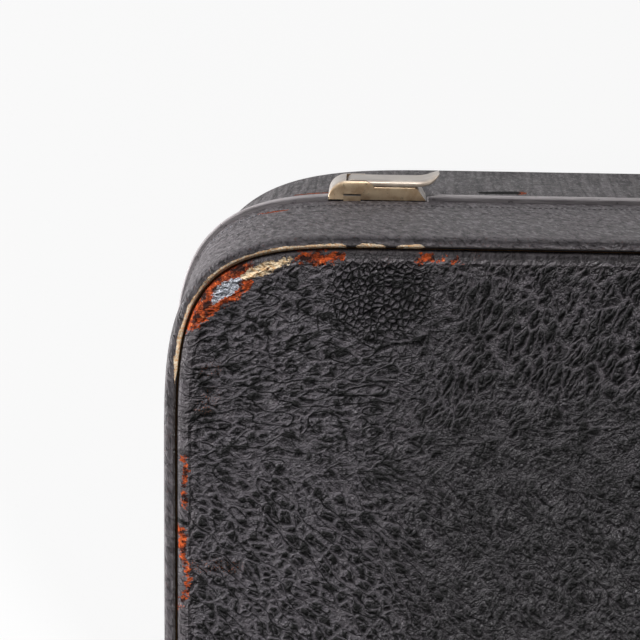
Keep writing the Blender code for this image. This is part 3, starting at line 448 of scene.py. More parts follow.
# A panel's leather: a fine flat face, a rounded edge, a skirt, and a plain inner face
def makePanel(name, half, fine, plain):
    depth = case[half + "Depth"]
    face, ledge = depth + case["proud"], depth - case["ledge"] + case["gap"]
    plan, facing = panelGrid(fine, plain, panelReach(half))
    rows, columns = plan.shape[:2]
    index = np.arange(rows * columns).reshape(rows, columns)
    quads = np.stack([index[:-1, :-1], index[:-1, 1:], index[1:, 1:], index[1:, :-1]], -1).reshape(-1, 4)
    loop = np.concatenate([index[0, :-1], index[:-1, -1], index[-1, :0:-1], index[:0:-1, 0]])
    points = [np.concatenate([plan.reshape(-1, 2), np.full((rows * columns, 1), face)], 1)]
    edgePlan, edgeFacing = plan.reshape(-1, 2)[loop], facing.reshape(-1, 2)[loop]
    start = case["panelOut"] - case["panelRadius"]
    arc = arcPoints((start, face - case["panelRadius"]), case["panelRadius"], 90, 0, 6)[1:]
    inner = case["panelOut"] - case["leather"]
    profile = arc + [(case["panelOut"], (face - case["panelRadius"] + ledge) / 2), (case["panelOut"], ledge),
                     (inner, ledge), (inner, face - case["leather"])]
    faces = [quads]
    previous = loop
    for offset, level in profile:
        ring = edgePlan + edgeFacing * (offset - start)
        first = sum(len(p) for p in points)
        points.append(np.concatenate([ring, np.full((len(ring), 1), level)], 1))
        now = np.arange(first, first + len(ring))
        faces.append(np.stack([previous, np.roll(previous, -1), np.roll(now, -1), now], 1))
        previous = now
    points = np.concatenate(points)
    points[:, 2] = np.array([levelZ(half, level) for level in points[:, 2]])
    faces = np.concatenate(faces).tolist() + [previous[::-1].tolist()]
    made = meshFrom(name, points, faces)
    flat = np.zeros(len(points))
    flat[:rows * columns] = 1
    setValues(made.data, "flat", flat)
    faceOut(made)
    return made


# Round lumps parted by thin wandering creases
def billow(tree, place, scale, width, seed=0.0):
    shifted = along(tree, "ADD", place, (seed, seed, seed))
    fold = calc(tree, "ABSOLUTE", calc(tree, "SUBTRACT", noise(tree, shifted, scale, 0.0), 0.5))
    share = calc(tree, "DIVIDE", fold, width, clamp=True)
    return calc(tree, "POWER", share, 0.6)


# The pressed grain, in metres and cells per metre: bends as (scale, detail, size), and where its parts meet
pressed = {
    "wander": (45.0, 1.0, 0.007), "shiver": (330.0, 1.0, 0.0013), "jog": (210.0, 2.0, 0.003),
    "sway": (22.0, 0.05), "steepX": (0.205, 0.165), "steepY": (-0.145, -0.100), "tightY": (-0.115, -0.070),
    "pebblyPlace": (0.2050, -0.1730, 0.0), "pebblyReach": (0.034, 0.018), "press": 0.00125,
}


# The panel's grain: level folds, steep ones on one part, tight slanting ones low down, and round pebbles
# in one place, with long creases between. Gives heights from 0 to 1
def grainField(tree, where):
    flat = along(tree, "MULTIPLY", where, (1.0, 1.0, 0.0))
    bent = along(tree, "ADD", flat, drift(tree, flat, *pressed["wander"]))
    bent = along(tree, "ADD", bent, drift(tree, flat, *pressed["shiver"]))
    parts = put(tree, "ShaderNodeSeparateXYZ", {0: flat}).outputs
    swayScale, swaySize = pressed["sway"]
    sway = calc(tree, "MULTIPLY", calc(tree, "SUBTRACT", noise(tree, flat, swayScale, 1.0), 0.5), swaySize)
    swayX, swayY = (calc(tree, "ADD", parts[axis], sway) for axis in ("X", "Y"))
    leaning = calc(tree, "MULTIPLY", span(tree, swayX, *pressed["steepX"]),
                   span(tree, swayY, *pressed["steepY"], (1.0, 0.3)))
    away = along(tree, "MULTIPLY", along(tree, "SUBTRACT", flat, pressed["pebblyPlace"]), (1.0, 1.5, 1.0))
    spot = calc(tree, "ADD", along(tree, "LENGTH", away), calc(tree, "MULTIPLY", sway, 0.5))
    pebbly = span(tree, spot, *pressed["pebblyReach"], (0.0, 0.85))

    def edges(place, scale):
        return cells(tree, place, scale, "DISTANCE_TO_EDGE")

    # Round lumps with a sharp crease all round each, higher towards one side
    def domes(place, scale, width, tilt=0.0):
        left = calc(tree, "SUBTRACT", 1.0, calc(tree, "DIVIDE", edges(place, scale), width, clamp=True))
        lump = calc(tree, "SUBTRACT", 1.0, calc(tree, "POWER", left, 2.2))
        if not tilt:
            return lump
        aside = along(tree, "SUBTRACT", place, cells(tree, place, scale, "F1", "Position"))
        ramp = along(tree, "DOT_PRODUCT", aside, (-0.6 * tilt * scale, 0.8 * tilt * scale, 0.0))
        return calc(tree, "MULTIPLY", lump, calc(tree, "ADD", ramp, 1.0 - 0.35 * tilt))

    # Thin raised lines round hollows
    def crests(place, scale, width):
        return span(tree, edges(place, scale), width, 0.0)

    squat = turned(tree, bent, -8.0, (0.62, 1.0, 1.0))
    lumps = addUp(tree, (domes(squat, 300.0, 0.30, 0.7), 0.42),
                  (domes(turned(tree, bent, 22.0, (0.75, 1.0, 1.0)), 380.0, 0.30, 0.7), 0.20),
                  (span(tree, cells(tree, squat, 210.0), 0.80, 0.15), 0.32))
    lumps = addUp(tree, (lumps, 0.8), (crests(squat, 240.0, 0.24), 0.34))
    creases = billow(tree, turned(tree, bent, -6.0, (0.45, 1.0, 1.0)), 150.0, 0.05)
    level = calc(tree, "MULTIPLY", calc(tree, "ADD", lumps, 0.08),
                 span(tree, creases, 0.0, 0.9, (0.25, 1.0), "LINEAR"))

    tall = turned(tree, along(tree, "ADD", bent, drift(tree, flat, *pressed["jog"])), 24.0, (1.0, 0.40, 1.0))
    web = calc(tree, "MAXIMUM", crests(tall, 215.0, 0.24),
               calc(tree, "MULTIPLY", crests(tall, 340.0, 0.24), 0.55))
    knots = domes(turned(tree, bent, 24.0, (1.0, 0.8, 1.0)), 480.0, 0.32)
    steep = calc(tree, "MAXIMUM", addUp(tree, (web, 0.82), (knots, 0.15)), 0.0, clamp=True)

    slant = turned(tree, bent, 42.0, (0.62, 1.0, 1.0))
    fine = crests(turned(tree, bent, 42.0, (0.7, 1.0, 1.0)), 310.0, 0.26)
    veins = billow(tree, turned(tree, bent, 42.0, (0.4, 1.0, 1.0)), 160.0, 0.05, 1.3)
    tight = calc(tree, "MAXIMUM", crests(slant, 205.0, 0.27), calc(tree, "MULTIPLY", fine, 0.6))
    tight = addUp(tree, (tight, 0.80), (domes(bent, 420.0, 0.32), 0.14))
    tight = calc(tree, "MULTIPLY", tight, span(tree, veins, 0.0, 0.9, (0.3, 1.0), "LINEAR"))
    low = span(tree, swayY, *pressed["tightY"], (0.0, 0.9))
    level = blendValue(tree, low, level, calc(tree, "ADD", calc(tree, "MULTIPLY", tight, 0.90), 0.04))

    pebble = calc(tree, "MULTIPLY", domes(bent, 350.0, 0.36, 0.5), 1.05)
    height = blendValue(tree, pebbly, blendValue(tree, leaning, level, steep), pebble)
    height = addUp(tree, (height, 0.74), (domes(bent, 800.0, 0.30), 0.10))
    swell = span(tree, noise(tree, flat, 90.0, 2.0, 0.5), 0.3, 0.7, (-0.08, 0.16))
    return calc(tree, "ADD", height, swell, clamp=True)


# 1 on the paths, falling to 0 past their half widths. Each path is (x, y, half width) places in plan
def closeness(mesh, paths, soft=0.0012, axes=(0, 1)):
    points = pointsOf(mesh)[:, list(axes)]
    best = np.full(len(points), 1.0)
    for path in paths:
        path = np.array(path, float)
        if len(path) == 1:
            path = np.repeat(path, 2, 0)
        for a, b in zip(path, path[1:]):
            step = b[:2] - a[:2]
            share = np.clip(((points - a[:2]) @ step) / max(step @ step, 1e-12), 0, 1)
            wide = a[2] + (b[2] - a[2]) * share
            away = np.linalg.norm(points - a[:2] - share[:, None] * step, axis=1) - wide
            best = np.minimum(best, away)
    return np.clip(0.5 - best / (2 * soft), 0, 1)


# Where the photograph shows the panel's finish worn away, creased and torn, in metres: x, y and half width. The
# creases and the tear are coloured with painted shade
wear = {
    "suede": [
        [(0.2959, -0.1501, 0.0009), (0.2932, -0.1556, 0.0017), (0.2897, -0.1592, 0.0026),
         (0.2853, -0.1625, 0.0034), (0.2815, -0.1668, 0.0044), (0.2765, -0.1708, 0.0044),
         (0.2704, -0.1742, 0.0040), (0.2648, -0.1778, 0.0034), (0.2626, -0.1799, 0.0022)],
        [(0.2897, -0.1624, 0.0022), (0.2858, -0.1692, 0.0030), (0.2810, -0.1756, 0.0030),
         (0.2749, -0.1802, 0.0034), (0.2679, -0.1834, 0.0034), (0.2618, -0.1853, 0.0022)],
        [(0.2414, -0.1897, 0.0013), (0.2371, -0.1902, 0.0026), (0.2323, -0.1903, 0.0030),
         (0.2271, -0.1904, 0.0022), (0.2214, -0.1914, 0.0017)],
        [(0.1897, -0.1893, 0.0009), (0.1863, -0.1907, 0.0022), (0.1837, -0.1908, 0.0015),
         (0.1811, -0.1895, 0.0009)],
        [(0.1780, -0.1905, 0.0006), (0.1728, -0.1901, 0.0009), (0.1702, -0.1897, 0.0004)],
        [(0.2906, -0.0998, 0.0006), (0.2902, -0.0928, 0.0010), (0.2906, -0.0835, 0.0010),
         (0.2898, -0.0756, 0.0009)],
        [(0.2951, -0.0656, 0.0013), (0.2925, -0.0642, 0.0022), (0.2907, -0.0619, 0.0017),
         (0.2920, -0.0576, 0.0017), (0.2911, -0.0525, 0.0015), (0.2893, -0.0478, 0.0013),
         (0.2889, -0.0411, 0.0012), (0.2898, -0.0354, 0.0011), (0.2920, -0.0305, 0.0010),
         (0.2939, -0.0281, 0.0009)],
    ],
    "fibre": [
        [(0.2775, -0.1703, 0.0013), (0.2748, -0.1739, 0.0026), (0.2714, -0.1762, 0.0034),
         (0.2679, -0.1785, 0.0022), (0.2661, -0.1799, 0.0009)],
    ],
    "raw": [
        [(0.2648, -0.1812, 0.0013), (0.2609, -0.1827, 0.0022), (0.2566, -0.1845, 0.0026),
         (0.2522, -0.1864, 0.0022), (0.2470, -0.1883, 0.0017), (0.2440, -0.1897, 0.0009)],
    ],
    "fold": [
        [(0.2143, -0.1567, 0.0003), (0.2042, -0.1533, 0.0007), (0.1959, -0.1521, 0.0008),
         (0.1867, -0.1541, 0.0006), (0.1816, -0.1582, 0.0002)],
        [(0.2141, -0.1657, 0.0002), (0.2070, -0.1680, 0.0005), (0.1997, -0.1695, 0.0002)],
    ],
    "tear": [
        [(0.2947, -0.0694, 0.0009), (0.2920, -0.0685, 0.0013), (0.2893, -0.0676, 0.0009)],
    ],
    "specks": [
        [(0.2853, -0.0469, 0.0017), (0.2790, -0.0480, 0.0022), (0.2722, -0.0477, 0.0022),
         (0.2664, -0.0473, 0.0013)],
        [(0.2822, -0.1216, 0.0022), (0.2800, -0.1253, 0.0026), (0.2774, -0.1277, 0.0017)],
        [(0.2813, -0.1381, 0.0013), (0.2774, -0.1400, 0.0017)],
        [(0.2033, -0.1891, 0.0006), (0.2019, -0.1896, 0.0006)],
        [(0.1638, -0.1929, 0.0009), (0.1630, -0.1929, 0.0009)],
    ],
}


# How far in from the panel's edge each point lies, in plan
def edgeAway(mesh, half):
    points = np.abs(pointsOf(mesh)[:, :2])
    reach = panelReach(half)
    unit, facing = cornerUnit(np.linspace(0, 1, 160))
    loop = unit * reach + facing * case["panelOut"] + np.array([case["width"], case["height"]]) / 2 - reach
    straight = np.minimum(case["width"] / 2 + case["panelOut"] - points[:, 0],
                          case["height"] / 2 + case["panelOut"] - points[:, 1])
    near = np.full(len(points), 1.0)
    inCorner = (points[:, 0] > case["width"] / 2 - reach) & (points[:, 1] > case["height"] / 2 - reach)
    index = np.nonzero(inCorner)[0]
    for first in range(0, len(index), 20000):
        some = index[first:first + 20000]
        gap = points[some][:, None, :] - loop[None]
        near[some] = np.sqrt((gap ** 2).sum(-1).min(1))
    return np.where(inCorner, near, np.maximum(straight, 0))


# Geometry nodes that press the grain into a flat face, less near the edge and on worn places
def grainPush(name, depth):
    shape = [("Mesh", "NodeSocketGeometry")]
    tree, start, end = newGroup(name, "GeometryNodeTree", shape, shape)

    def stored(layer):
        node = put(tree, "GeometryNodeInputNamedAttribute", {"Name": layer}, data_type="FLOAT")
        return node.outputs["Attribute"]

    place = put(tree, "GeometryNodeInputPosition").outputs[0]
    normal = put(tree, "GeometryNodeInputNormal").outputs[0]
    height = grainField(tree, place)
    full = stored("grain")
    push = calc(tree, "MULTIPLY", calc(tree, "SUBTRACT", height, 1.0), calc(tree, "MULTIPLY", full, depth))
    push = calc(tree, "SUBTRACT", push, stored("sink"))
    offset = along(tree, "SCALE", normal, Scale=push)
    moved = put(tree, "GeometryNodeSetPosition", {"Geometry": start.outputs[0], "Offset": offset})
    tree.links.new(moved.outputs[0], end.inputs[0])
    return tree


def applyNodes(thing, tree):
    thing.modifiers.new("shape", "NODES").node_group = tree
    bakeShape(thing)


def dressPanel(thing, half, material):
    mesh = thing.data
    flat = np.zeros(len(mesh.vertices), np.float32)
    mesh.attributes["flat"].data.foreach_get("value", flat)
    away = edgeAway(mesh, half)
    setValues(mesh, "away", away)
    soft = {"suede": 0.0034, "fibre": 0.0026, "raw": 0.0022, "tear": 0.0012, "specks": 0.0025, "fold": 0.0009}
    masks = {name: closeness(mesh, paths if half == "lid" else [], soft[name]) for name, paths in wear.items()}
    for name, mask in masks.items():
        setValues(mesh, name, mask)
    worn = np.maximum.reduce([masks["suede"], masks["fibre"], masks["raw"]])
    grain = flat * np.clip((away - 0.0042) / 0.0022, 0, 1) * (1 - 0.75 * worn)
    setValues(mesh, "grain", grain)
    setValues(mesh, "sink", (0.00018 * worn + 0.0009 * masks["tear"] + 0.0008 * masks["fold"]) * flat)
    applyNodes(thing, grainPush(half + "_grain", pressed["press"]))
    thing.data.shade_smooth()
    thing.data.materials.clear()
    thing.data.materials.append(material)


def grainGroup():
    tree, start, end = newGroup("pebbled_grain", "ShaderNodeTree", [("Where", "NodeSocketVector")],
                                [("Height", "NodeSocketFloat")])
    tree.links.new(grainField(tree, start.outputs[0]), end.inputs[0])
    return tree


pebbledGrain = grainGroup()


def value(tree, name):
    return put(tree, "ShaderNodeAttribute", attribute_name=name).outputs["Fac"]


panelSkin = {"relief": 0.0038, "specular": 0.30}
# The panel's tones. Some of them are painted shade and painted light, as said where they are used
panelTones = {
    "skin": ("312d31", "3c373c"), "dusty": "615c62", "rim": "6b6568", "crest": "5c565b",
    "paintedShade": "181518", "hollow": "060506", "suede": ("7c2c14", "d95c22"), "suedeFleck": "ff9c5e",
    "suedeDirt": "33150f", "raw": ("dcae78", "ffeccb"), "rawDirt": "94603a",
    "fibre": ("4d515f", "dfe2ea"), "tear": "080607", "fold": "0a090a", "speck": "b5602e",
}


def leatherPanel():
    material, tree, shader = newMaterial("pebbled_leather")
    shader.inputs["Specular IOR Level"].default_value = panelSkin["specular"]
    tone, where = panelTones, objectPlace(tree)
    height = put(tree, "ShaderNodeGroup", {"Where": where}, node_tree=pebbledGrain).outputs["Height"]
    patches = noise(tree, where, 35.0, 3.0, 0.6)
    parts = put(tree, "ShaderNodeSeparateXYZ", {0: where}).outputs
    reachEdge = calc(tree, "MAXIMUM", value(tree, "grain"), 0.4)
    # Painted shade: the grain's hollows are darkened towards a near-black tone, where shadow would gather in
    # them
    deep = calc(tree, "MULTIPLY", span(tree, height, 0.60, 0.28), reachEdge)
    dusty = span(tree, calc(tree, "ADD", parts["X"], calc(tree, "MULTIPLY", patches, 0.04)), 0.17, 0.27)
    dusty = calc(tree, "MULTIPLY", dusty, span(tree, parts["Z"], 0.08, 0.1, (0.0, 0.65)))
    # Painted shade: darker towards smaller x and larger y, a fall of light painted across the panel
    paintedShade = calc(tree, "MULTIPLY", span(tree, parts["X"], 0.23, 0.15),
               span(tree, parts["Y"], -0.17, -0.08, (0.15, 0.5)))
    skin = between(tree, patches, tone["skin"])
    skin = over(tree, skin, dusty, tone["dusty"])
    # Painted light: lighter over the last 4 to 12 mm before the panel's edge, where its rounded edge turns away
    # from the light
    skin = over(tree, skin, span(tree, value(tree, "away"), 0.012, 0.004), tone["rim"], 0.6)
    skin = over(tree, skin, span(tree, height, 0.62, 0.92), tone["crest"])
    skin = over(tree, skin, paintedShade, tone["paintedShade"])
    skin = over(tree, skin, deep, tone["hollow"])
    ragged = noise(tree, where, 420.0, 5.0, 0.72)
    streaky = noise(tree, turned(tree, where, 35.0, (0.3, 1.0, 1.0)), 900.0, 3.0, 0.7)
    blotch = noise(tree, where, 240.0, 3.0, 0.6)

    def torn(name, spread):
        raw = value(tree, name)
        ragging = calc(tree, "ADD", raw, calc(tree, "MULTIPLY", calc(tree, "SUBTRACT", ragged, 0.5), spread))
        return span(tree, calc(tree, "MULTIPLY", ragging, span(tree, raw, 0.0, 0.12)), 0.47, 0.56)

    suedeBare, rawBare = torn("suede", 1.9), torn("raw", 1.4)
    suede = between(tree, span(tree, ragged, 0.36, 0.62), tone["suede"])
    suede = over(tree, suede, span(tree, streaky, 0.56, 0.74), tone["suedeFleck"])
    suede = over(tree, suede, span(tree, blotch, 0.54, 0.40), tone["suedeDirt"])
    raw = between(tree, span(tree, streaky, 0.35, 0.65), tone["raw"])
    raw = over(tree, raw, span(tree, blotch, 0.38, 0.30), tone["rawDirt"])
    silver = between(tree, span(tree, noise(tree, where, 1500.0, 3.0, 0.7), 0.38, 0.62), tone["fibre"])
    speck = calc(tree, "MULTIPLY", value(tree, "specks"),
                 span(tree, noise(tree, where, 1500.0, 2.0, 0.6), 0.6, 0.68))
    shade = over(tree, over(tree, skin, suedeBare, suede), rawBare, raw)
    shade = over(tree, shade, torn("fibre", 1.6), silver)
    # Painted shade: the tear and the long creases, pressed in by the geometry as well, are coloured near black
    # where their shadow falls
    shade = over(tree, shade, torn("tear", 0.6), tone["tear"])
    shade = over(tree, shade, span(tree, value(tree, "fold"), 0.3, 0.8), tone["fold"])
    shade = over(tree, shade, speck, tone["speck"])
    rough = blendValue(tree, deep, span(tree, patches, 0.2, 0.8, (0.42, 0.56)), 0.8)
    rough = blendValue(tree, calc(tree, "MAXIMUM", suedeBare, rawBare), rough, 0.9)
    normal = bump(tree, calc(tree, "MULTIPLY", height, reachEdge), 1.0, panelSkin["relief"])
    nap = calc(tree, "ADD", noise(tree, where, 2600.0, 3.0, 0.6), calc(tree, "MULTIPLY", ragged, 0.6))
    wire(tree, shader, shade, rough, bump(tree, nap, 0.25, 0.0002, normal))
    return material


# Worn places, and a painted shadow slot on the base band, on the front bands: x, height and half width, in
# metres
bandWear = {
    "lid": {"rub": [[(0.2620, 0.1000, 0.0010), (0.2560, 0.1040, 0.0022), (0.2490, 0.1055, 0.0014)]],
            "shadowSlit": []},
    "base": {"rub": [[(0.1408, 0.0636, 0.0036), (0.1394, 0.0640, 0.0040)],
                     [(0.2460, 0.0640, 0.0014), (0.2312, 0.0670, 0.0016)]],
             "shadowSlit": [[(0.1560, 0.0650, 0.0030), (0.1420, 0.0636, 0.0040)]]},
}
# Where the cut edge of the lid's band shows raw hide: x, y and half width
rimRaw = [
    [(0.2975, -0.1330, 0.002), (0.2943, -0.1495, 0.005), (0.2903, -0.1609, 0.008), (0.2728, -0.1846, 0.008),
     (0.2402, -0.1933, 0.006), (0.2228, -0.1954, 0.003)],
    [(0.2130, -0.1960, 0.003), (0.2060, -0.1960, 0.003)],
    [(0.1950, -0.1964, 0.003), (0.1880, -0.1964, 0.002)],
]


# Up the side, over the rim, down the worn cut edge, and back inside
def bandProfile(depth, start, step):
    radius = case["rimRound"]
    rise = depth - radius
    count = max(2, int(round((rise - start) / step)))
    profile = [(0.0, start + (rise - start) * i / count) for i in range(count)]
    profile += arcPoints((-radius, rise), radius, 0, 86, 6)
    profile += [(-0.0034, depth, 0.35), (-0.0040, depth - 0.00008, 0.7), (-0.0045, depth - 0.00022, 1),
                (-case["rim"], depth - 0.00045, 1), (-case["rim"], depth - case["leather"], 1)]
    profile += arcPoints((-radius, rise), radius - case["leather"], 90, 0, 3)
    profile += [(-case["leather"], start)]
    return profile


bandLook = {
    "lid": {"tones": ("4d484b", "5f5a5d"), "hollows": (0.34, 0.60), "mottle": 0.72, "relief": 0.0010,
            "specular": 0.30, "shiver": 0.0045, "shares": (0.45, 0.22, 0.12)},
    "base": {"tones": ("454143", "565254"), "hollows": (0.42, 0.72), "mottle": 0.5, "relief": 0.0014,
             "specular": 0.30, "shiver": 0.0018, "shares": (0.25, 0.50, 0.12)},
}
# The bands' tones: the hollow tone and the slit's near black are painted shade
bandTones = {
    "hollow": "2a2629", "crest": "7b7679", "dust": "7d777c", "mottleDark": "262225", "mottlePale": "8a8588",
    "freckle": "5d3a34", "rub": ("5a2a1a", "b4542a"), "shadowSlit": "020101", "cut": "2a2322",
    "hide": ("efb87c", "fff1da"),
}


# Fine grain: slanting strokes and pores on the lid's band, upright folds on the base's
def bandField(tree, lay, half):
    bent = along(tree, "ADD", lay, drift(tree, lay, 150.0, 2.0, bandLook[half]["shiver"]))
    pores = cells(tree, bent, 620.0)
    if half == "lid":
        folds = noise(tree, turned(tree, bent, 28.0, (0.32, 1.0, 1.0)), 640.0, 3.0, 0.62)
        lines = billow(tree, turned(tree, bent, 20.0, (0.4, 1.0, 1.0)), 300.0, 0.12)
        cross = billow(tree, bent, 190.0, 0.06, 5.3)
    else:
        upright = along(tree, "MULTIPLY", bent, (1.0, 0.15, 1.0))
        folds = noise(tree, upright, 560.0, 2.0, 0.6)
        lines = billow(tree, upright, 210.0, 0.20)
        cross = billow(tree, along(tree, "MULTIPLY", bent, (0.8, 0.8, 1.0)), 260.0, 0.06, 5.3)
    shares = (0.22, *bandLook[half]["shares"])
    total = addUp(tree, *zip((calc(tree, "SUBTRACT", 0.8, pores), folds, lines, cross), shares))
    return calc(tree, "MULTIPLY", total, 1.0, clamp=True)


def bandGroup(half):
    tree, start, end = newGroup(half + "_band_grain", "ShaderNodeTree", [("Lay", "NodeSocketVector")],
                                [("Height", "NodeSocketFloat")])
    tree.links.new(bandField(tree, start.outputs[0], half), end.inputs[0])
    return tree


bandGrain = {half: bandGroup(half) for half in bandLook}


def vectorValue(tree, name):
    return put(tree, "ShaderNodeAttribute", attribute_name=name).outputs["Vector"]


def bandLeather(name, half):
    look, tone = bandLook[half], bandTones
    material, tree, shader = newMaterial(name)
    shader.inputs["Specular IOR Level"].default_value = look["specular"]
    lay, where = vectorValue(tree, "lay"), objectPlace(tree)
    height = put(tree, "ShaderNodeGroup", {"Lay": lay}, node_tree=bandGrain[half]).outputs["Height"]
    patches = noise(tree, where, 28.0, 4.0, 0.65)
    dust = noise(tree, along(tree, "MULTIPLY", lay, (0.6, 1.0, 1.0)), 260.0, 5.0, 0.75)
    low, high = look["hollows"]
    skin = between(tree, span(tree, patches, 0.35, 0.65), look["tones"])
    # Painted shade: the grain's low places are darkened towards the hollow tone, where shadow would gather in
    # them
    skin = blendColour(tree, span(tree, height, low, high), rgb(tone["hollow"]), skin)
    skin = over(tree, skin, span(tree, height, high, high + 0.16, (0.0, 0.45)), tone["crest"])
    skin = over(tree, skin, span(tree, dust, 0.45, 0.75), tone["dust"], 0.6)
    if half == "lid":
        run = turned(tree, lay, 25.0, (0.55, 1.0, 1.0))
    else:
        run = along(tree, "MULTIPLY", lay, (1.0, 0.5, 1.0))
    mottle = noise(tree, run, 560.0, 3.0, 0.8)
    much = calc(tree, "SUBTRACT", look["mottle"], calc(tree, "MULTIPLY", value(tree, "crown"), 0.45))
    skin = over(tree, skin, calc(tree, "MULTIPLY", span(tree, mottle, 0.48, 0.38), much), tone["mottleDark"])
    skin = over(tree, skin, calc(tree, "MULTIPLY", span(tree, mottle, 0.52, 0.62), much), tone["mottlePale"])
    skin = over(tree, skin, span(tree, noise(tree, where, 700.0, 3.0, 0.7), 0.60, 0.68), tone["freckle"], 0.55)
    ragged = noise(tree, where, 900.0, 4.0, 0.7)
    rub = value(tree, "rub")
    rubbed = calc(tree, "ADD", rub, calc(tree, "MULTIPLY", calc(tree, "SUBTRACT", ragged, 0.5), 1.5))
    rubbed = span(tree, calc(tree, "MULTIPLY", rubbed, span(tree, rub, 0.02, 0.2)), 0.5, 0.7)
    # Painted shadow: a near-black slot on the base band, coloured as a gap in shade
    shadowSlit = span(tree, value(tree, "shadowSlit"), 0.45, 0.6)
    shade = over(tree, skin, rubbed, between(tree, span(tree, ragged, 0.4, 0.65), tone["rub"]))
    shade = over(tree, shade, shadowSlit, tone["shadowSlit"])
    cut, raw = value(tree, "cut"), value(tree, "raw")
    edge = noise(tree, along(tree, "MULTIPLY", lay, (0.3, 1.0, 1.0)), 420.0, 4.0, 0.7)
    bare = calc(tree, "ADD", cut, calc(tree, "MULTIPLY", calc(tree, "SUBTRACT", edge, 0.5), 1.5))
    bare = calc(tree, "ADD", bare, calc(tree, "MULTIPLY", calc(tree, "SUBTRACT", raw, 1.0), 1.1))
    bare = calc(tree, "MULTIPLY", span(tree, bare, 0.30, 0.42), span(tree, cut, 0.0, 0.3))
    shade = over(tree, shade, span(tree, cut, 0.5, 1.0), tone["cut"])
    shade = over(tree, shade, bare, between(tree, span(tree, ragged, 0.35, 0.65), tone["hide"]))
    rough = span(tree, patches, 0.3, 0.7, (0.46, 0.60))
    rough = blendValue(tree, calc(tree, "MAXIMUM", bare, rubbed), rough, 0.88)
    rough = blendValue(tree, shadowSlit, rough, 1.0)
    normal = bump(tree, height, 1.0, look["relief"])
    wire(tree, shader, shade, rough, bump(tree, calc(tree, "ADD", dust, ragged), 0.5, 0.0004, normal))
    return material


def dressBand(thing, half):
    points = pointsOf(thing.data)
    for name, paths in bandWear[half].items():
        setValues(thing.data, name, closeness(thing.data, paths, 0.0008, (0, 2)) * (points[:, 1] < -0.15))
    level = np.abs(points[:, 2] - levelZ(half, 0.0))
    depth = case[half + "Depth"]
    setValues(thing.data, "crown", np.clip((level - depth + 0.007) / 0.004, 0, 1))  # the rounded rim
    setValues(thing.data, "raw", closeness(thing.data, rimRaw if half == "lid" else [], 0.002))
    thing.data.materials.clear()
    thing.data.materials.append(bandLeather(half + "_band_leather_worn", half))


# Where hardware stands on the seam strip: x from, x to, and which side
notches = [(0.1838, 0.2304, -1), (-0.2304, -0.1838, -1), (-0.0283, 0.0283, -1), (0.1414, 0.1886, 1),
           (-0.1886, -0.1414, 1)]


# Stations with doubled places at each notch's ends, and which stations lie in one
def notchedStations(fine, plain):
    stations = stationsAt(fine, plain)
    fixed, grown, facing = dense
    place = fixed + grown * case["reach"]
    length = np.concatenate([[0], np.cumsum(np.linalg.norm(np.diff(place, axis=0), axis=1))])
    extra = []
    for low, high, side in notches:
        for x in (low, high):
            on = np.nonzero((np.sign(place[:-1, 1]) == side) & ((place[:-1, 0] - x) * (place[1:, 0] - x) <= 0)
                            & (np.abs(place[:-1, 1]) > 0.15))[0]
            for i in on[:1]:
                share = (x - place[i, 0]) / max(abs(place[i + 1, 0] - place[i, 0]), 1e-9)
                middle = length[i] + abs(share) * (length[i + 1] - length[i])
                extra += [middle - 0.00002, middle + 0.00002]
    wanted = np.unique(np.concatenate([stations["length"], extra]))
    pick = lambda values: np.stack([np.interp(wanted, length, values[:, i]) for i in range(2)], -1)
    face = pick(facing)
    face /= np.linalg.norm(face, axis=1)[:, None]
    made = {"fixed": pick(fixed), "grown": pick(grown), "facing": face, "length": wanted}
    at = made["fixed"] + made["grown"] * case["reach"]
    inside = np.zeros(len(wanted), bool)
    for low, high, side in notches:
        inside |= (at[:, 0] > low) & (at[:, 0] < high) & (np.sign(at[:, 1]) == side) & (np.abs(at[:, 1]) > 0.15)
    return made, inside


# The strip's shape and tones: its pale greys are a painted sheen, with a streak tone and a spot tone
seamStrip = {"proud": 0.0026, "round": 0.0012, "depth": 0.006, "cap": 0.0012, "on": 0.0003, "sunk": -0.0006,
             "tones": ("aaa3a5", "c2bbbd"), "streak": "615c5e", "spot": "3a3536"}


def stripProfile():
    radius, depth, cap, on = seamStrip["round"], seamStrip["depth"], seamStrip["cap"], seamStrip["on"]
    inner, middle = case["liningIn"], seamStrip["proud"] - radius
    profile = [(inner, cap), (inner, 0.0), (-0.004, 0.0)]
    profile += arcPoints((middle, radius), radius, -90, 0, 5)
    profile += arcPoints((middle, depth - radius), radius, 0, 90, 5)
    return profile + [(on, depth), (on, cap)]


def makeStrip():
    stations, inside = notchedStations(0.0022, 0.006)
    made = sweep("base_edge_binding_skin", "base", stripProfile(), stations)
    points, count = pointsOf(made.data), len(stations["fixed"])
    for row, (offset, level) in enumerate(stripProfile()):
        if offset > seamStrip["sunk"]:  # pressed in below the hardware
            ring = ringAt(stations, seamStrip["sunk"], levelZ("base", level))
            part = points[row * count:(row + 1) * count]
            part[inside] = ring[inside]
    made.data.vertices.foreach_set("co", points.ravel())
    faceOut(made)
    return made


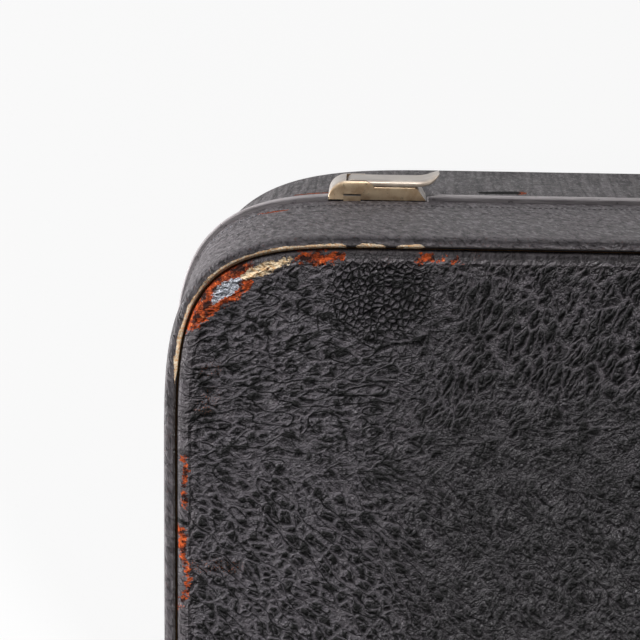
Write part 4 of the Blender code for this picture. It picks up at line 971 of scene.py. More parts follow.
# Smooth leather, drawn lengthwise, with a few dark spots, in pale grey tones that are a painted sheen
def stripLeather():
    material, tree, shader = newMaterial("seam_strip_painted_sheen")
    lay, where = vectorValue(tree, "lay"), objectPlace(tree)
    drawn = noise(tree, along(tree, "MULTIPLY", lay, (0.06, 1.0, 1.0)), 900.0, 3.0, 0.6)
    patches = noise(tree, where, 22.0, 4.0, 0.65)
    fine = noise(tree, where, 1500.0, 3.0, 0.65)
    skin = between(tree, span(tree, patches, 0.35, 0.65), seamStrip["tones"])
    skin = over(tree, skin, span(tree, drawn, 0.45, 0.65), seamStrip["streak"], 0.5)
    skin = over(tree, skin, span(tree, noise(tree, where, 260.0, 4.0, 0.7), 0.62, 0.72), seamStrip["spot"], 0.6)
    normal = bump(tree, calc(tree, "ADD", drawn, calc(tree, "MULTIPLY", fine, 0.5)), 0.35, 0.0002)
    wire(tree, shader, skin, span(tree, patches, 0.3, 0.7, (0.58, 0.74)), normal)
    return material


stitching = {"pitch": 0.0025, "length": 0.0017, "radius": 0.00024, "level": 0.0118, "out": 0.00005,
             "tones": ("4a4649", "625d61"), "dust": "a9abb6", "dustyPlace": (0.268, -0.190, 0.103)}


# Short raised thread stitches, each a closed capsule, along a band
def makeStitches(name, half, level, offset, stations, material):
    reach = float(reachAt(levelZ(half, level)))
    place = stations["fixed"] + stations["grown"] * reach + stations["facing"] * offset
    loop = np.concatenate([place, place[:1]])
    length = np.concatenate([[0], np.cumsum(np.linalg.norm(np.diff(loop, axis=0), axis=1))])
    count = int(length[-1] / stitching["pitch"])
    at = (np.arange(count) + 0.5) * length[-1] / count
    pick = lambda where: np.stack([np.interp(where, length, loop[:, i]) for i in range(2)], -1)
    middle, ahead = pick(at), pick(np.minimum(at + 0.0004, length[-1]))
    way = ahead - middle
    way /= np.linalg.norm(way, axis=1)[:, None]
    out = np.stack([way[:, 1], -way[:, 0]], -1)
    out *= np.sign((out * middle).sum(1))[:, None]
    sides, points, faces = 6, [], []
    # Along the stitch, its thickness there, and how far it stands out
    sections = [(-0.5, 0.25, -0.0003), (-0.36, 0.85, 0.0), (0.0, 1.0, 0.00008), (0.36, 0.85, 0.0),
                (0.5, 0.25, -0.0003)]
    z = levelZ(half, level)
    for k in range(count):
        first = len(points)
        for run, size, lift in sections:
            centre = middle[k] + way[k] * run * stitching["length"] + out[k] * lift
            for i in range(sides):
                angle = 2 * math.pi * i / sides
                radius = stitching["radius"] * size
                side = out[k] * math.cos(angle) * radius
                points.append((centre[0] + side[0], centre[1] + side[1], z + math.sin(angle) * radius))
        for row in range(len(sections) - 1):
            a, b = first + row * sides, first + (row + 1) * sides
            faces += [(a + i, a + (i + 1) % sides, b + (i + 1) % sides, b + i) for i in range(sides)]
        faces += [tuple(range(first, first + sides)), tuple(range(first + 4 * sides, first + 5 * sides))]
    made = meshFrom(name, points, faces)
    faceOut(made)
    made.data.materials.append(material)
    return made


# Waxed black thread, dusty and pale where the photograph shows it
def threadMaterial():
    material, tree, shader = newMaterial("thread_waxed")
    where = objectPlace(tree)
    away = along(tree, "LENGTH", along(tree, "SUBTRACT", where, stitching["dustyPlace"]))
    dusty = span(tree, away, 0.028, 0.010)
    grit = noise(tree, where, 900.0, 2.0, 0.6)
    shade = between(tree, span(tree, grit, 0.35, 0.65), stitching["tones"])
    shade = over(tree, shade, calc(tree, "MULTIPLY", dusty, span(tree, grit, 0.3, 0.6)), stitching["dust"])
    wave = {"Vector": where, "Scale": 900.0, "Distortion": 2.0}
    twist = put(tree, "ShaderNodeTexWave", wave, bands_direction="DIAGONAL")
    normal = bump(tree, twist.outputs["Fac"], 0.5, 0.0001)
    wire(tree, shader, shade, span(tree, grit, 0.3, 0.7, (0.5, 0.75)), normal)
    return material


# What a finish group puts out, and the two tones that go into some
surface = [("Colour", "NodeSocketColor"), ("Roughness", "NodeSocketFloat"), ("Height", "NodeSocketFloat")]
tones = [("Dark", "NodeSocketColor"), ("Light", "NodeSocketColor")]
plate = {"metal": ("b3aba5", "cbc3bc"), "tarnishAndReflection": ("d6b084", "f4d8b0"), "grime": "57493c"}


def endWith(tree, end, colour, rough, height):
    for socket, output in (("Colour", colour), ("Roughness", rough), ("Height", height)):
        tree.links.new(output, end.inputs[socket])
    return tree


# Worn nickel plate: dull patches, fine scratches and brassy tarnish in random stains, with the same warm tone
# as a painted reflection wherever the input asks for it
def plateGroup():
    tree, start, end = newGroup("worn_plate", "ShaderNodeTree",
                                [("Where", "NodeSocketVector"), ("Tarnished", "NodeSocketFloat")], surface)
    where = start.outputs["Where"]
    patches = noise(tree, where, 120.0, 4.0, 0.65)
    scratch = noise(tree, turned(tree, where, 12.0, (0.06, 1.0, 1.0)), 2400.0, 2.0, 0.6)
    stained = span(tree, noise(tree, where, 70.0, 5.0, 0.7), 0.56, 0.70)
    tint = calc(tree, "MAXIMUM", calc(tree, "MULTIPLY", stained, 0.5), start.outputs["Tarnished"])
    metal = between(tree, span(tree, patches, 0.3, 0.7), plate["metal"])
    shade = over(tree, metal, tint, between(tree, span(tree, patches, 0.35, 0.65), plate["tarnishAndReflection"]))
    shade = over(tree, shade, span(tree, noise(tree, where, 420.0, 3.0, 0.7), 0.62, 0.76), plate["grime"], 0.55)
    rough = span(tree, patches, 0.3, 0.7, (0.32, 0.5))
    return endWith(tree, end, shade, rough, calc(tree, "ADD", scratch, patches))


# Streaks and patches between two tones, for wood, board, tape and plain steel
def streakGroup():
    inputs = [("Where", "NodeSocketVector"), ("Stretch", "NodeSocketVector"), ("Scale", "NodeSocketFloat"),
              ("Smoothest", "NodeSocketFloat"), *tones]
    tree, start, end = newGroup("streaks", "ShaderNodeTree", inputs, surface)
    where, stretch, scale, smoothest, dark, light = start.outputs[:6]
    streak = noise(tree, along(tree, "MULTIPLY", where, stretch), scale, 4.0, 0.65)
    mixed = addUp(tree, (streak, 0.7), (noise(tree, where, 14.0, 3.0, 0.6), 0.3))
    rough = calc(tree, "ADD", smoothest, span(tree, mixed, 0.3, 0.7, (0.0, 0.12)))
    return endWith(tree, end, blendColour(tree, span(tree, mixed, 0.38, 0.62), dark, light), rough, streak)


# Cotton with a plain weave, a little stained
def weaveGroup():
    tree, start, end = newGroup("plain_weave", "ShaderNodeTree",
                                [("Where", "NodeSocketVector"), *tones], surface)
    where, dark, light = start.outputs[:3]
    wave = {"Vector": where, "Scale": 260.0, "Distortion": 0.6, "Detail": 1.0, "Detail Scale": 2.0}
    x, y, z = (put(tree, "ShaderNodeTexWave", wave, bands_direction=axis).outputs["Fac"] for axis in "XYZ")
    cloth = calc(tree, "MULTIPLY", calc(tree, "MAXIMUM", x, y), calc(tree, "MAXIMUM", y, z))
    stain = noise(tree, where, 9.0, 5.0, 0.65)
    shade = blendColour(tree, span(tree, stain, 0.35, 0.65), dark, light)
    shade = over(tree, shade, span(tree, cloth, 0.7, 0.2, (0.0, 0.35)), "5b4a34")
    return endWith(tree, end, shade, span(tree, stain, 0.3, 0.7, (0.8, 0.92)), cloth)


wornPlate, streaks, plainWeave = plateGroup(), streakGroup(), weaveGroup()


# A material whose colour, roughness and relief all come from one group
def dressedIn(name, group, strength, depth, inputs, metallic=0.0):
    material, tree, shader = newMaterial(name, Metallic=metallic)
    node = put(tree, "ShaderNodeGroup", {"Where": objectPlace(tree), **inputs}, node_tree=group)
    normal = bump(tree, node.outputs["Height"], strength, depth)
    wire(tree, shader, node.outputs["Colour"], node.outputs["Roughness"], normal)
    return material


def nickel(name, warm=0.0):
    material = dressedIn(name, wornPlate, 0.14, 0.0002, {}, metallic=0.5)
    if warm:
        tree = material.node_tree
        # Painted reflection: faces turned towards +Z take the warm tone, in the share given, as if they
        # reflected something warm nearby
        facing = put(tree, "ShaderNodeSeparateXYZ", {0: put(tree, "ShaderNodeNewGeometry").outputs["Normal"]})
        front = calc(tree, "MULTIPLY", span(tree, facing.outputs["Z"], 0.2, 0.8), warm)
        tree.links.new(front, next(node for node in tree.nodes if node.type == "GROUP").inputs["Tarnished"])
    return material


def plainMaterial(name, dark, light, metallic, rough, scale, stretch, depth):
    inputs = {"Stretch": stretch, "Scale": scale, "Smoothest": rough, "Dark": rgb(dark), "Light": rgb(light)}
    return dressedIn(name, streaks, 0.4, depth, inputs, metallic)


def woven(name, dark, light):
    return dressedIn(name, plainWeave, 0.4, 0.0003, {"Dark": rgb(dark), "Light": rgb(light)})


# A lever catch, in metres. Along it is from its round outer end, out is from the band, and depth
# is back from the seam
catch = {
    "inset": 0.0699, "length": 0.046, "depth": 0.019, "front": 0.0066, "height": 0.0095, "wall": 0.0008,
    "slant": 0.0055, "axis": 0.0113, "axisOut": 0.0069, "knuckle": 0.0026, "pin": 0.0008, "play": 0.0003,
    "thick": 0.0012, "strip": 0.0434, "curl": 0.0034, "curlLength": 0.011, "side": 0.0022, "running": 0.0005,
    "tipRound": 0.0045, "heel": 0.0010, "dome": 0.22, "roundEnd": 0.0092, "leverIn": 0.0066,
    "leverRound": 0.004,
}


def catchHeight(depth):
    rise = min(depth / (catch["depth"] * catch["dome"]), 1.0)
    return catch["front"] + (catch["height"] - catch["front"]) * math.sqrt(1 - (1 - rise) ** 2)


def leverUnder(depth):
    return max(catchHeight(depth) - catch["thick"], catch["front"])


def leverStart(depth):
    return catch["leverIn"] + catch["leverRound"] * (1 - min(depth / catch["side"], 1.0)) ** 2


# A place from how far it is along the catch, out from the band and back from the seam
def catchPoint(side, runs, out, depth):
    return (side * (case["width"] / 2 - catch["inset"] - runs), -case["height"] / 2 - out, case["seam"] - depth)


# A closed body through rings of equal counts, with a face on each end
def loftSolid(name, rings):
    count = len(rings[0])
    points = [point for ring in rings for point in ring]
    faces = []
    for row in range(len(rings) - 1):
        a, b = row * count, (row + 1) * count
        faces += [[a + i, a + (i + 1) % count, b + (i + 1) % count, b + i] for i in range(count)]
    faces += [list(range(count)), list(range((len(rings) - 1) * count, len(rings) * count))]
    made = meshFrom(name, points, faces)
    faceOut(made)
    return made


def tool(name, rings):
    made = loftSolid(name, rings)
    made.hide_render = True
    return made


def boxTool(name, low, high):
    ring = lambda z: [(low[0], low[1], z), (high[0], low[1], z), (high[0], high[1], z), (low[0], high[1], z)]
    return tool(name, [ring(low[2]), ring(high[2])])


def rodTool(name, side, runs, out, radius, near, far):
    ring = lambda depth: [catchPoint(side, runs + radius * math.cos(a), out + radius * math.sin(a), depth)
                          for a in np.linspace(0, 2 * math.pi, 32, endpoint=False)]
    return tool(name, [ring(near), ring(far)])


def cutAway(thing, tools):
    for part in tools:
        step = thing.modifiers.new("cut", "BOOLEAN")
        step.operation, step.object, step.solver = "DIFFERENCE", part, "EXACT"
    bakeShape(thing)
    for part in tools:
        mesh = part.data
        bpy.data.objects.remove(part)
        bpy.data.meshes.remove(mesh)


def bakeShape(thing):
    mesh = bpy.data.meshes.new_from_object(thing.evaluated_get(bpy.context.evaluated_depsgraph_get()))
    thing.modifiers.clear()
    old, thing.data = thing.data, mesh
    bpy.data.meshes.remove(old)


def smoothBy(thing, degrees):
    thing.data.shade_smooth()
    thing.data.set_sharp_from_angle(angle=math.radians(degrees))


# Depths close together where the case rises from its front wall
def domedDepths(first, last):
    dome = catch["depth"] * catch["dome"]
    rising = [dome * (1 - math.cos(a)) for a in np.radians(np.linspace(0, 90, 13))]
    return sorted({round(max(first, min(last, d)), 7) for d in rising} | {first, last})


# A shell with a round outer end, a domed top and a slanted inner end, hollow below
def makeCatchCase(name, side):
    rings = []
    ends = [(0.0, 0.00035), (0.00012, 0.00015), (0.00035, 0.0)]
    depths = ends + [(d, 0.0) for d in domedDepths(0.0006, catch["depth"] - 0.0004)]
    depths += [(catch["depth"] - 0.0002, 0.0001), (catch["depth"], 0.0003)]
    for depth, inset in depths:
        height, step = catchHeight(depth) - inset, leverUnder(depth) - case["gap"] - inset
        rise = catchHeight(depth) - catch["axisOut"]
        swept = math.hypot(leverStart(depth), leverUnder(depth) - catch["axisOut"])
        stepAt = catch["axis"] + math.sqrt((swept - case["gap"]) ** 2 - rise ** 2)
        ring = [(inset, case["gap"])]
        ring += [(inset + (catch["roundEnd"] - inset) * (1 - math.cos(a)) ** 1.05,
                  case["gap"] + (height - case["gap"]) * math.sin(a) ** 0.9)
                 for a in np.radians(np.linspace(9, 90, 10))]
        ring += [(stepAt, height), (stepAt, min(step, height - 0.00002))]
        start = catch["length"] - catch["slant"]
        ring += [(start - 0.004, step), (start, step)]
        ring += [(start + catch["slant"] * share, case["gap"] + (step - case["gap"]) * high)
                 for share, high in ((0.22, 0.88), (0.45, 0.66), (0.68, 0.38), (0.88, 0.12))]
        ring += [(catch["length"] - inset, case["gap"])]
        rings.append([catchPoint(side, runs, out, depth) for runs, out in ring])
    made = loftSolid(name, rings)
    wall, near, far = catch["wall"], catch["side"], catch["depth"] - catch["side"]
    hollow = []
    for depth in (near - wall, 0.0045, far + catch["side"] - wall):
        ceiling, floor = leverUnder(depth) - case["gap"] - wall, case["gap"] + wall
        end = catch["length"] - catch["slant"] - wall
        bent = floor + (ceiling - floor) * 0.45
        section = [(0.0016, floor), (0.0016, bent), (0.005, ceiling), (end, ceiling), (end, floor)]
        hollow.append([catchPoint(side, runs, out, depth) for runs, out in section])
    radius = catch["knuckle"] + catch["play"]
    axis, out, run = catch["axis"], catch["axisOut"], catch["running"]
    x = sorted(catchPoint(side, axis + step, 0, 0)[0] for step in (-0.0041, 0.0041))
    window = boxTool(name + "_window", (x[0], -case["height"] / 2 - 0.0030, case["seam"] - near - 0.0003),
                     (x[1], -case["height"] / 2 - 0.0011, case["seam"] + 0.001))
    x = sorted(catchPoint(side, axis + step, 0, 0)[0] for step in (0.0, 0.0066))
    slot = boxTool(name + "_slot", (x[0], -case["height"] / 2 - 0.012, case["seam"] - far - run),
                   (x[1], -case["height"] / 2 - (catch["height"] - catch["thick"] - 0.0024),
                    case["seam"] - near + run))
    x = sorted(catchPoint(side, axis + step, 0, 0)[0] for step in (-radius, 0.0002))
    rest = boxTool(name + "_rest", (x[0], -case["height"] / 2 - 0.012, case["seam"] - far - run),
                   (x[1], -case["height"] / 2 - out, case["seam"] - near + run))
    room = rodTool(name + "_room", side, axis, out, radius, near - run, far + run)
    bore = rodTool(name + "_bore", side, axis, out, catch["pin"] + catch["play"],
                   near - run - wall + 0.0003, far + 0.0016)
    cutAway(made, [tool(name + "_hollow", hollow), room, slot, rest, window, bore])
    smoothBy(made, 42)
    return made


# The strip with its round tip, the knuckle on its pin, and a short nose below
def makeLever(name, side):
    near, far = catch["side"], catch["depth"] - catch["side"]
    middle, half = (0.00025 + far) / 2, (far - 0.00025) / 2
    level = catch["axis"] + catch["strip"] - catch["knuckle"] - catch["curlLength"]
    fronts = domedDepths(0.00025, near)
    deeper = [near + 0.00003] + [d for d in domedDepths(near + 0.0003, far - 0.0006) if d > near + 0.0003]
    deeper += [far - 0.0045, far - 0.0030, far - 0.0018, far - 0.0009, far - 0.0003, far]
    rings = []
    for depth in sorted(set(fronts + deeper)):
        start = catch["axis"] + (leverStart(depth) if depth <= near + 0.00001 else -catch["heel"])
        beyond = max(abs(depth - middle) - (half - catch["tipRound"]), 0) / catch["tipRound"]
        tip = level + catch["curlLength"] - catch["tipRound"] * (1 - math.sqrt(max(1 - beyond ** 2, 0.0)))
        edge = min(depth - 0.00025, far - depth)
        rounded = 0.0003 * (1 - min(edge / 0.0003, 1.0)) ** 2
        top, under = [], []
        shares = np.linspace(0, 1, 5)[:-1].tolist() + (1 + np.linspace(0, 1, 13)).tolist()
        for share in shares:
            runs = start + (level - start) * share if share < 1 else level + (tip - level) * (share - 1)
            lift = catch["curl"] * max((runs - level) / catch["curlLength"], 0) ** 2.2
            end = max(1 - (tip - runs) / 0.0006, 0) if share > 1 else 0
            top.append((runs, catchHeight(depth) + lift - rounded - 0.0003 * end ** 2))
            under.append((runs, leverUnder(depth) + lift + min(rounded, 0.0002) + 0.0003 * end ** 2))
        rings.append([catchPoint(side, runs, out, depth) for runs, out in under + top[::-1]])
    strip = loftSolid(name, rings)
    bm = bmesh.new()
    bm.from_mesh(strip.data)
    outer, inner = catch["knuckle"], catch["pin"] + catch["play"]
    places = []
    for radius, depth in ((inner, near), (outer - 0.00015, near), (outer, near + 0.0002), (outer, far - 0.0002),
                          (outer - 0.00015, far), (inner, far)):
        circle = [(catch["axis"] + radius * math.cos(a), catch["axisOut"] + radius * math.sin(a))
                 for a in np.linspace(0, 2 * math.pi, 36, endpoint=False)]
        places.append([bm.verts.new(catchPoint(side, runs, out, depth)) for runs, out in circle])
    for a, b in zip(places, places[1:] + places[:1]):
        for i in range(36):
            bm.faces.new((a[i], a[(i + 1) % 36], b[(i + 1) % 36], b[i]))
    tip = catch["axisOut"] - catch["knuckle"] - 0.001
    root = catch["axisOut"] - 0.0020
    nose = [(-0.0006, root), (-0.0006, tip + 0.0003), (-0.0003, tip), (0.0003, tip),
            (0.0006, tip + 0.0003), (0.0006, root)]
    ends = [[bm.verts.new(catchPoint(side, catch["axis"] + runs, out, depth)) for runs, out in nose]
            for depth in (near + 0.0005, far - 0.0005)]
    for i in range(6):
        bm.faces.new((ends[0][i], ends[0][(i + 1) % 6], ends[1][(i + 1) % 6], ends[1][i]))
    bm.faces.new(ends[0])
    bm.faces.new(ends[1])
    bmesh.ops.recalc_face_normals(bm, faces=bm.faces)
    bm.to_mesh(strip.data)
    bm.free()
    smoothBy(strip, 42)
    return strip


grip = {"span": 0.128, "reach": 0.031, "level": 0.039, "out": 0.0095, "power": 2.5, "core": 0.0023,
        "turn": 27.0, "end": 0.0046, "outRadius": 0.0082, "inRadius": 0.0066,
        "stitchAngles": (236, 264), "stitchPitch": 0.0030, "stitchLength": 0.0021, "stitchRadius": 0.00030}


def gripPoint(degrees):
    angle = math.radians(degrees)
    power = 2 / grip["power"]
    across = math.copysign(abs(math.cos(angle)) ** power, -math.cos(angle))
    down = max(math.sin(angle), 0.0) ** power
    return Vector((across * grip["span"] / 2, -case["height"] / 2 - grip["out"],
                   case["seam"] - grip["level"] - down * grip["reach"]))


def gripFrame(degrees):
    ahead = (gripPoint(degrees + 0.5) - gripPoint(degrees - 0.5)).normalized()
    outward = Vector((0, -1, 0))
    return outward, outward.cross(ahead)


def gripRadii(share):
    swell = math.sin(math.pi * share) ** 0.6 if 0 < share < 1 else 0.0
    return [grip["end"] + (full - grip["end"]) * swell for full in (grip["outRadius"], grip["inRadius"])]


# Leather sewn round the handle's bar, a little fuller in the middle, with a lapped seam on its inner side
def makeGrip():
    turns, sides = np.linspace(grip["turn"], 180 - grip["turn"], 73), 32
    rings, count = [], len(turns)
    for i, degrees in enumerate(turns):
        share = i / (count - 1)
        outRadius, inRadius = gripRadii(share)
        outward, inward = gripFrame(degrees)
        close = min(share, 1 - share) * (count - 1)
        shrink = 0.00055 * max(1 - close / 1.5, 0) ** 2
        ring = []
        for k in range(sides):
            angle = 2 * math.pi * k / sides
            seam = 0.0004 * math.exp(-((math.degrees(angle) - 250) / 9) ** 2)
            creased = 0.00010 * math.sin(share * 150 + math.sin(angle * 2) * 2)
            more = seam + creased - shrink - 0.0002
            outer, inner = (outRadius + more) * math.cos(angle), (inRadius + more) * math.sin(angle)
            ring.append(gripPoint(degrees) + outward * outer + inward * inner)
        rings.append(ring)
    for degrees in turns[::-1]:
        outward, inward = gripFrame(degrees)
        rings.append([gripPoint(degrees) + outward * (grip["core"] * math.cos(2 * math.pi * k / sides))
                      + inward * (grip["core"] * math.sin(2 * math.pi * k / sides)) for k in range(sides)])
    faces = []
    for row in range(len(rings)):
        a, b = row * sides, (row + 1) % len(rings) * sides
        faces += [[a + i, a + (i + 1) % sides, b + (i + 1) % sides, b + i] for i in range(sides)]
    made = meshFrom("handle_grip_leather", [point for ring in rings for point in ring], faces)
    faceOut(made)
    return made


# Short rods with narrowed ends, each closed, between pairs of places
def capsuleMesh(name, ends, radius, sides=6):
    points, faces = [], []
    for start, end, up in ends:
        way = (end - start).normalized()
        side = way.cross(up).normalized()
        lift = side.cross(way)
        first = len(points)
        for share, size in ((0.0, 0.35), (0.16, 0.9), (0.5, 1.05), (0.84, 0.9), (1.0, 0.35)):
            centre = start.lerp(end, share)
            points += [centre + (side * math.cos(a) + lift * math.sin(a)) * radius * size
                       for a in np.linspace(0, 2 * math.pi, sides, endpoint=False)]
        for row in range(4):
            a, b = first + row * sides, first + (row + 1) * sides
            faces += [[a + i, a + (i + 1) % sides, b + (i + 1) % sides, b + i] for i in range(sides)]
        faces += [list(range(first, first + sides)), list(range(first + 4 * sides, first + 5 * sides))]
    made = meshFrom(name, points, faces)
    faceOut(made)
    return made


def makeGripStitches():
    ends = []
    step = 0.9
    for angle in (math.radians(degrees) for degrees in grip["stitchAngles"]):
        at = grip["turn"] + 4
        while at < 180 - grip["turn"] - 4:
            pair = []
            for degrees in (at, at + step):
                share = (degrees - grip["turn"]) / (180 - 2 * grip["turn"])
                outRadius, inRadius = gripRadii(share)
                outward, inward = gripFrame(degrees)
                spoke = outward * ((outRadius - 0.0001) * math.cos(angle))
                spoke += inward * ((inRadius - 0.0001) * math.sin(angle))
                pair.append(gripPoint(degrees) + spoke)
            ends.append((pair[0], pair[1], spoke.normalized()))
            length = (pair[1] - pair[0]).length
            at += step * grip["stitchPitch"] / max(length, 0.0004)
            step *= grip["stitchLength"] / max(length, 0.0004)
            step = min(max(step, 0.3), 3.0)
    return capsuleMesh("handle_grip_stitches", ends, grip["stitchRadius"])


lining = {"thick": 0.001, "fillet": 0.007, "steps": 6}


# Down the wall's outer face, across below the floor, and back over the rounded inner corner
def liningProfile(start, floor):
    out, inn, fillet, thick = case["liningIn"] + 0.001, case["liningIn"], lining["fillet"], lining["thick"]
    profile = [(inn - 0.030, floor), (out, floor), (out, start), (inn, start)]
    rise = (floor - thick - fillet - start) / 8
    profile += [(inn, start + rise * i) for i in range(1, 9)]
    profile += arcPoints((inn - fillet, floor - thick - fillet), fillet, 0, 90, lining["steps"])[1:]
    profile += [(inn - 0.030, floor - thick)]
    return profile


def makeLining(half, start, floor, stations):
    profile = liningProfile(start, floor)
    made = sweep(half + "_lining_cloth", half, profile, stations, closed=False)
    count, rows = len(stations["fixed"]), len(profile)
    bm = bmesh.new()
    bm.from_mesh(made.data)
    bm.verts.ensure_lookup_table()
    bm.faces.new([bm.verts[i] for i in range(count)])
    bm.faces.new([bm.verts[(rows - 1) * count + i] for i in range(count)])
    bmesh.ops.recalc_face_normals(bm, faces=bm.faces)
    bm.to_mesh(made.data)
    bm.free()
    smoothBy(made, 50)
    return made


pocket = {
    "width": 0.452, "low": -0.048, "high": 0.158, "thick": 0.0006, "pleats": 46, "deep": 0.0015, "face": 0.1694,
    "sewnSide": 0.010, "sewnEnd": 0.012, "belly": 0.0016,
    "hem": [((-0.229, -0.048), (0.229, -0.048))], "hemWidth": 0.011, "hemThick": 0.0032, "hemLift": 0.0004,
    "tape": [((-0.2275, -0.042), (-0.2275, 0.159)), ((0.2275, -0.042), (0.2275, 0.159)),
             ((-0.2225, 0.1575), (0.2225, 0.1575))],
    "tapeWidth": 0.008, "tapeThick": 0.0016, "tapeLift": 0.0,
}


# How far the cloth stands off the lining: gathered folds, fullest in the middle, tight at its sewn edges
def pocketHeight(u, v):
    phase = 2 * math.pi * pocket["pleats"] * u + 1.6 * np.sin(2 * math.pi * (3.1 * u + 0.6 * v))
    fold = 0.5 + 0.5 * np.sin(phase + 0.9 * np.sin(9 * v + 14 * u))
    aside = np.minimum(u, 1 - u) * pocket["width"] / pocket["sewnSide"]
    above = (1 - v) * (pocket["high"] - pocket["low"]) / pocket["sewnEnd"]
    sewn = np.clip(np.minimum(aside, above), 0, 1) ** 0.7
    belly = pocket["belly"] * np.sin(math.pi * np.clip(v, 0, 1)) ** 0.8 * np.sin(math.pi * u) ** 0.4
    return pocket["deep"] * fold * (0.25 + 0.75 * sewn) + belly * sewn


def makePocket():
    across, down = ((644, 44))
    u, v = np.meshgrid(np.linspace(0, 1, across), np.linspace(0, 1, down))
    x = (u - 0.5) * pocket["width"]
    y = pocket["low"] + (pocket["high"] - pocket["low"]) * v
    z = pocket["face"] - pocketHeight(u, v)
    outer = np.stack([x, y, z - pocket["thick"]], -1).reshape(-1, 3)
    inner = np.stack([x, y, z], -1).reshape(-1, 3)
    index = np.arange(across * down).reshape(down, across)
    quads = np.stack([index[:-1, :-1], index[:-1, 1:], index[1:, 1:], index[1:, :-1]], -1).reshape(-1, 4)
    loop = np.concatenate([index[0, :-1], index[:-1, -1], index[-1, :0:-1], index[:0:-1, 0]])
    far = across * down
    rim = np.stack([loop, np.roll(loop, -1), np.roll(loop, -1) + far, loop + far], 1)
    faces = np.concatenate([quads, quads + far, rim])
    made = meshFrom("lid_pocket_cloth", np.concatenate([outer, inner]), faces)
    faceOut(made)
    widths = np.linalg.norm(np.diff(np.stack([x, z], -1), axis=1), axis=2).sum(1)
    lengths = np.linalg.norm(np.diff(np.stack([y, z], -1), axis=0), axis=2).sum(0)
    net = inner.reshape(down, across, 3)
    area = np.linalg.norm(np.cross(np.diff(net, axis=1)[:-1], np.diff(net, axis=0)[:, :-1]), axis=2).sum()
    print("pocket cloth", round(widths.mean(), 4), round(lengths.mean(), 4), round(area, 5))
    return made, float(widths.mean()), float(area)


# A flat sewn band along straight runs, with rounded edges
def makeTape(name, places, width, thick, lift):
    section = [(-0.5, 0.0), (-0.5, 0.5), (-0.42, 0.85), (-0.3, 1.0),
               (0.3, 1.0), (0.42, 0.85), (0.5, 0.5), (0.5, 0.0)]
    bm = bmesh.new()
    for (ax, ay), (bx, by) in places:
        start, end = np.array((ax, ay)), np.array((bx, by))
        way = (end - start) / np.linalg.norm(end - start)
        side = np.array((-way[1], way[0]))
        steps = max(2, int(np.linalg.norm(end - start) / 0.004))
        rings = []
        for k in range(steps + 1):
            at = start + (end - start) * k / steps
            puff = 1 + 0.18 * math.sin(k * 2.1) + 0.10 * math.sin(k * 0.83)
            heights = [thick * high * (puff if high > 0.6 else 1) for _, high in section]
            rings.append([bm.verts.new((*(at + side * share * width), pocket["face"] - lift - height))
                          for (share, _), height in zip(section, heights)])
        for a, b in zip(rings, rings[1:]):
            for i in range(len(section)):
                bm.faces.new((a[i], a[(i + 1) % len(section)], b[(i + 1) % len(section)], b[i]))
        bm.faces.new(rings[0])
        bm.faces.new(rings[-1])
    bmesh.ops.recalc_face_normals(bm, faces=bm.faces)
    mesh = bpy.data.meshes.new(name)
    bm.to_mesh(mesh)
    bm.free()
    mesh.shade_smooth()
    made = bpy.data.objects.new(name, mesh)
    bpy.context.scene.collection.objects.link(made)
    return made


# How far apart the points of the panels and bands stand: in the photographed corner, and elsewhere
spacing = {"panel": (0.00092, 0.0040), "band": (0.0013, 0.0040)}

panelMaterial = leatherPanel()
lidPanel = makePanel("lid_panel_leather_skin", "lid", *spacing["panel"])
basePanel = makePanel("base_panel_leather_skin", "base", 0.004, 0.004)
for thing, half in ((lidPanel, "lid"), (basePanel, "base")):
    dressPanel(thing, half, panelMaterial)
    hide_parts(half + "_panel_leather")
    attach(thing, half)
print("panels", len(lidPanel.data.polygons), len(basePanel.data.polygons))

stations = stationsAt(*spacing["band"])
lidProfile = bandProfile(case["lidDepth"], 0.0, spacing["band"][0])
baseProfile = bandProfile(case["baseDepth"], 0.0015, spacing["band"][0] * 1.4)
lidBand = sweep("lid_band_leather_skin", "lid", lidProfile, stations, squeeze=0.4)
baseBand = sweep("base_band_leather_skin", "base", baseProfile, stations, squeeze=0.4)
for thing, half in ((lidBand, "lid"), (baseBand, "base")):
    dressBand(thing, half)
    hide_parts(half + "_band_leather")
    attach(thing, half)
print("bands", len(lidBand.data.polygons), len(baseBand.data.polygons))

stripSkin = makeStrip()
stripSkin.data.materials.append(stripLeather())
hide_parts("base_edge_binding")
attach(stripSkin, "base")
thread = threadMaterial()
stitches = makeStitches("lid_band_stitches", "lid", stitching["level"], stitching["out"], stations, thread)
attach(stitches, "lid")
print("strip and stitches", len(stripSkin.data.polygons), len(stitches.data.polygons))

# Plain ones: name, dark and light tone, metallic, roughness, scale, stretch and relief
finishes = {
    "nickel_plate": nickel("nickel_worn"), "catch": nickel("nickel_tarnish_and_reflection", 0.85),
    "lever": nickel("nickel_lever", 0.3),
    "steel": plainMaterial("steel_dull", "6f6b66", "9a958e", 1.0, 0.38, 900.0, (1.0, 0.2, 1.0), 0.0001),
    "frame_wood": plainMaterial("frame_wood_grain", "8a6238", "b88a54", 0.0, 0.6, 160.0, (0.12, 0.12, 1.0),
                                0.0004),
    "board": plainMaterial("board_pressed", "7a6548", "97805c", 0.0, 0.8, 420.0, (1.0, 1.0, 1.0), 0.0002),
    "edge_tape": plainMaterial("edge_tape_cloth", "211f21", "353235", 0.0, 0.7, 700.0, (1.0, 1.0, 1.0), 0.0002),
    "lining_cloth": woven("lining_cloth_weave", "a58a63", "b89d75"),
    "pocket_cloth": woven("pocket_cloth_weave", "a0845c", "b4986e"),
}
finishes["panel_leather"] = finishes["edge_tape"]

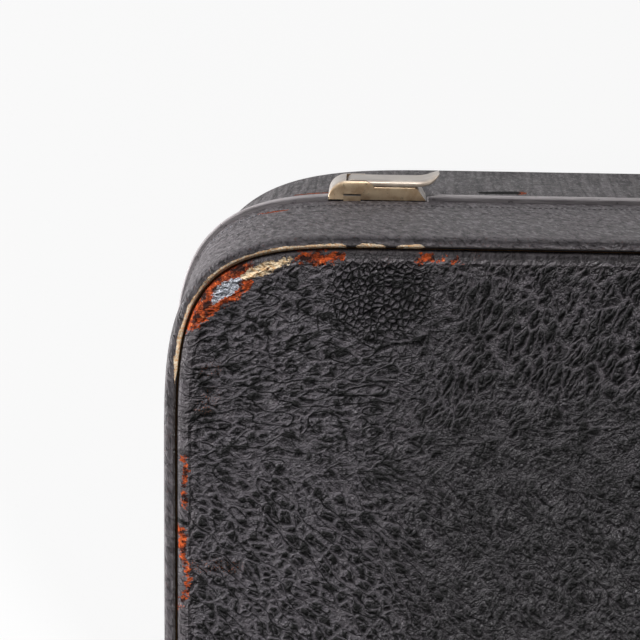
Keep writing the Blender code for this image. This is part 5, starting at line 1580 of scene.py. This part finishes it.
for sideName, side in (("left", -1), ("right", 1)):
    shell = makeCatchCase(f"latch_{sideName}_case_shell", side)
    lever = makeLever(f"latch_{sideName}_lever_strip", side)
    for thing, node, body in ((shell, "case", "base"), (lever, "lever", "lever_" + sideName)):
        thing.data.materials.clear()
        thing.data.materials.append(finishes["catch" if node == "case" else "lever"])
        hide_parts(f"latch_{sideName}_{node}")
        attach(thing, body)
print("catches")

gripPiece = makeGrip()
setValues(gripPiece.data, "lay", np.array([(v.co.x, v.co.z, v.co.y) for v in gripPiece.data.vertices]))
gripPiece.data.materials.append(bandLeather("handle_leather_worn", "lid"))
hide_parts("handle_grip")
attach(gripPiece, "handle")
gripStitches = makeGripStitches()
gripStitches.data.materials.append(thread)
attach(gripStitches, "handle")
print("grip", len(gripPiece.data.polygons), len(gripStitches.data.polygons))

plainStations = stationsAt(0.005, 0.005)
for half, start, depth in (("base", 0.0015, case["baseDepth"]), ("lid", 0.0013, case["lidDepth"])):
    cloth = makeLining(half, start, depth - case["ledge"], plainStations)
    cloth.data.materials.append(finishes["lining_cloth"])
    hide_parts(half + "_lining")
    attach(cloth, half)
pocketCloth, pocketWidth, pocketArea = makePocket()
measures = ("Width", "Thick", "Lift")
hem, tape = (makeTape("lid_pocket_" + name, pocket[name], *(pocket[name + measure] for measure in measures))
             for name in ("hem", "tape"))
for thing in (pocketCloth, hem, tape):
    thing.data.materials.append(finishes["pocket_cloth"])
    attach(thing, "lid")
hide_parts("lid_pocket")
print("lining and pocket")

# How far the hardware's edges are rounded by wear, by how its names begin
softened = {"latch_": 0.00035, "lock_": 0.0003, "hinge_": 0.0003, "handle_post": 0.0004,
            "handle_ferrule": 0.0004}
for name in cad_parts:
    thing = bpy.data.objects[name]
    for slot in thing.material_slots:
        kind = slot.material.name.split(".")[0]
        if name.startswith("latch_") and kind == "nickel_plate" or name.endswith("_striker"):
            kind = "catch"
        if kind in finishes:
            slot.material = finishes[kind]
    width = next((size for start, size in softened.items() if name.startswith(start)), 0.0)
    if width:
        edge = thing.modifiers.new("worn_edges", "BEVEL")
        edge.width, edge.segments, edge.limit_method, edge.angle_limit = width, 2, "ANGLE", math.radians(40)

print("finishes")
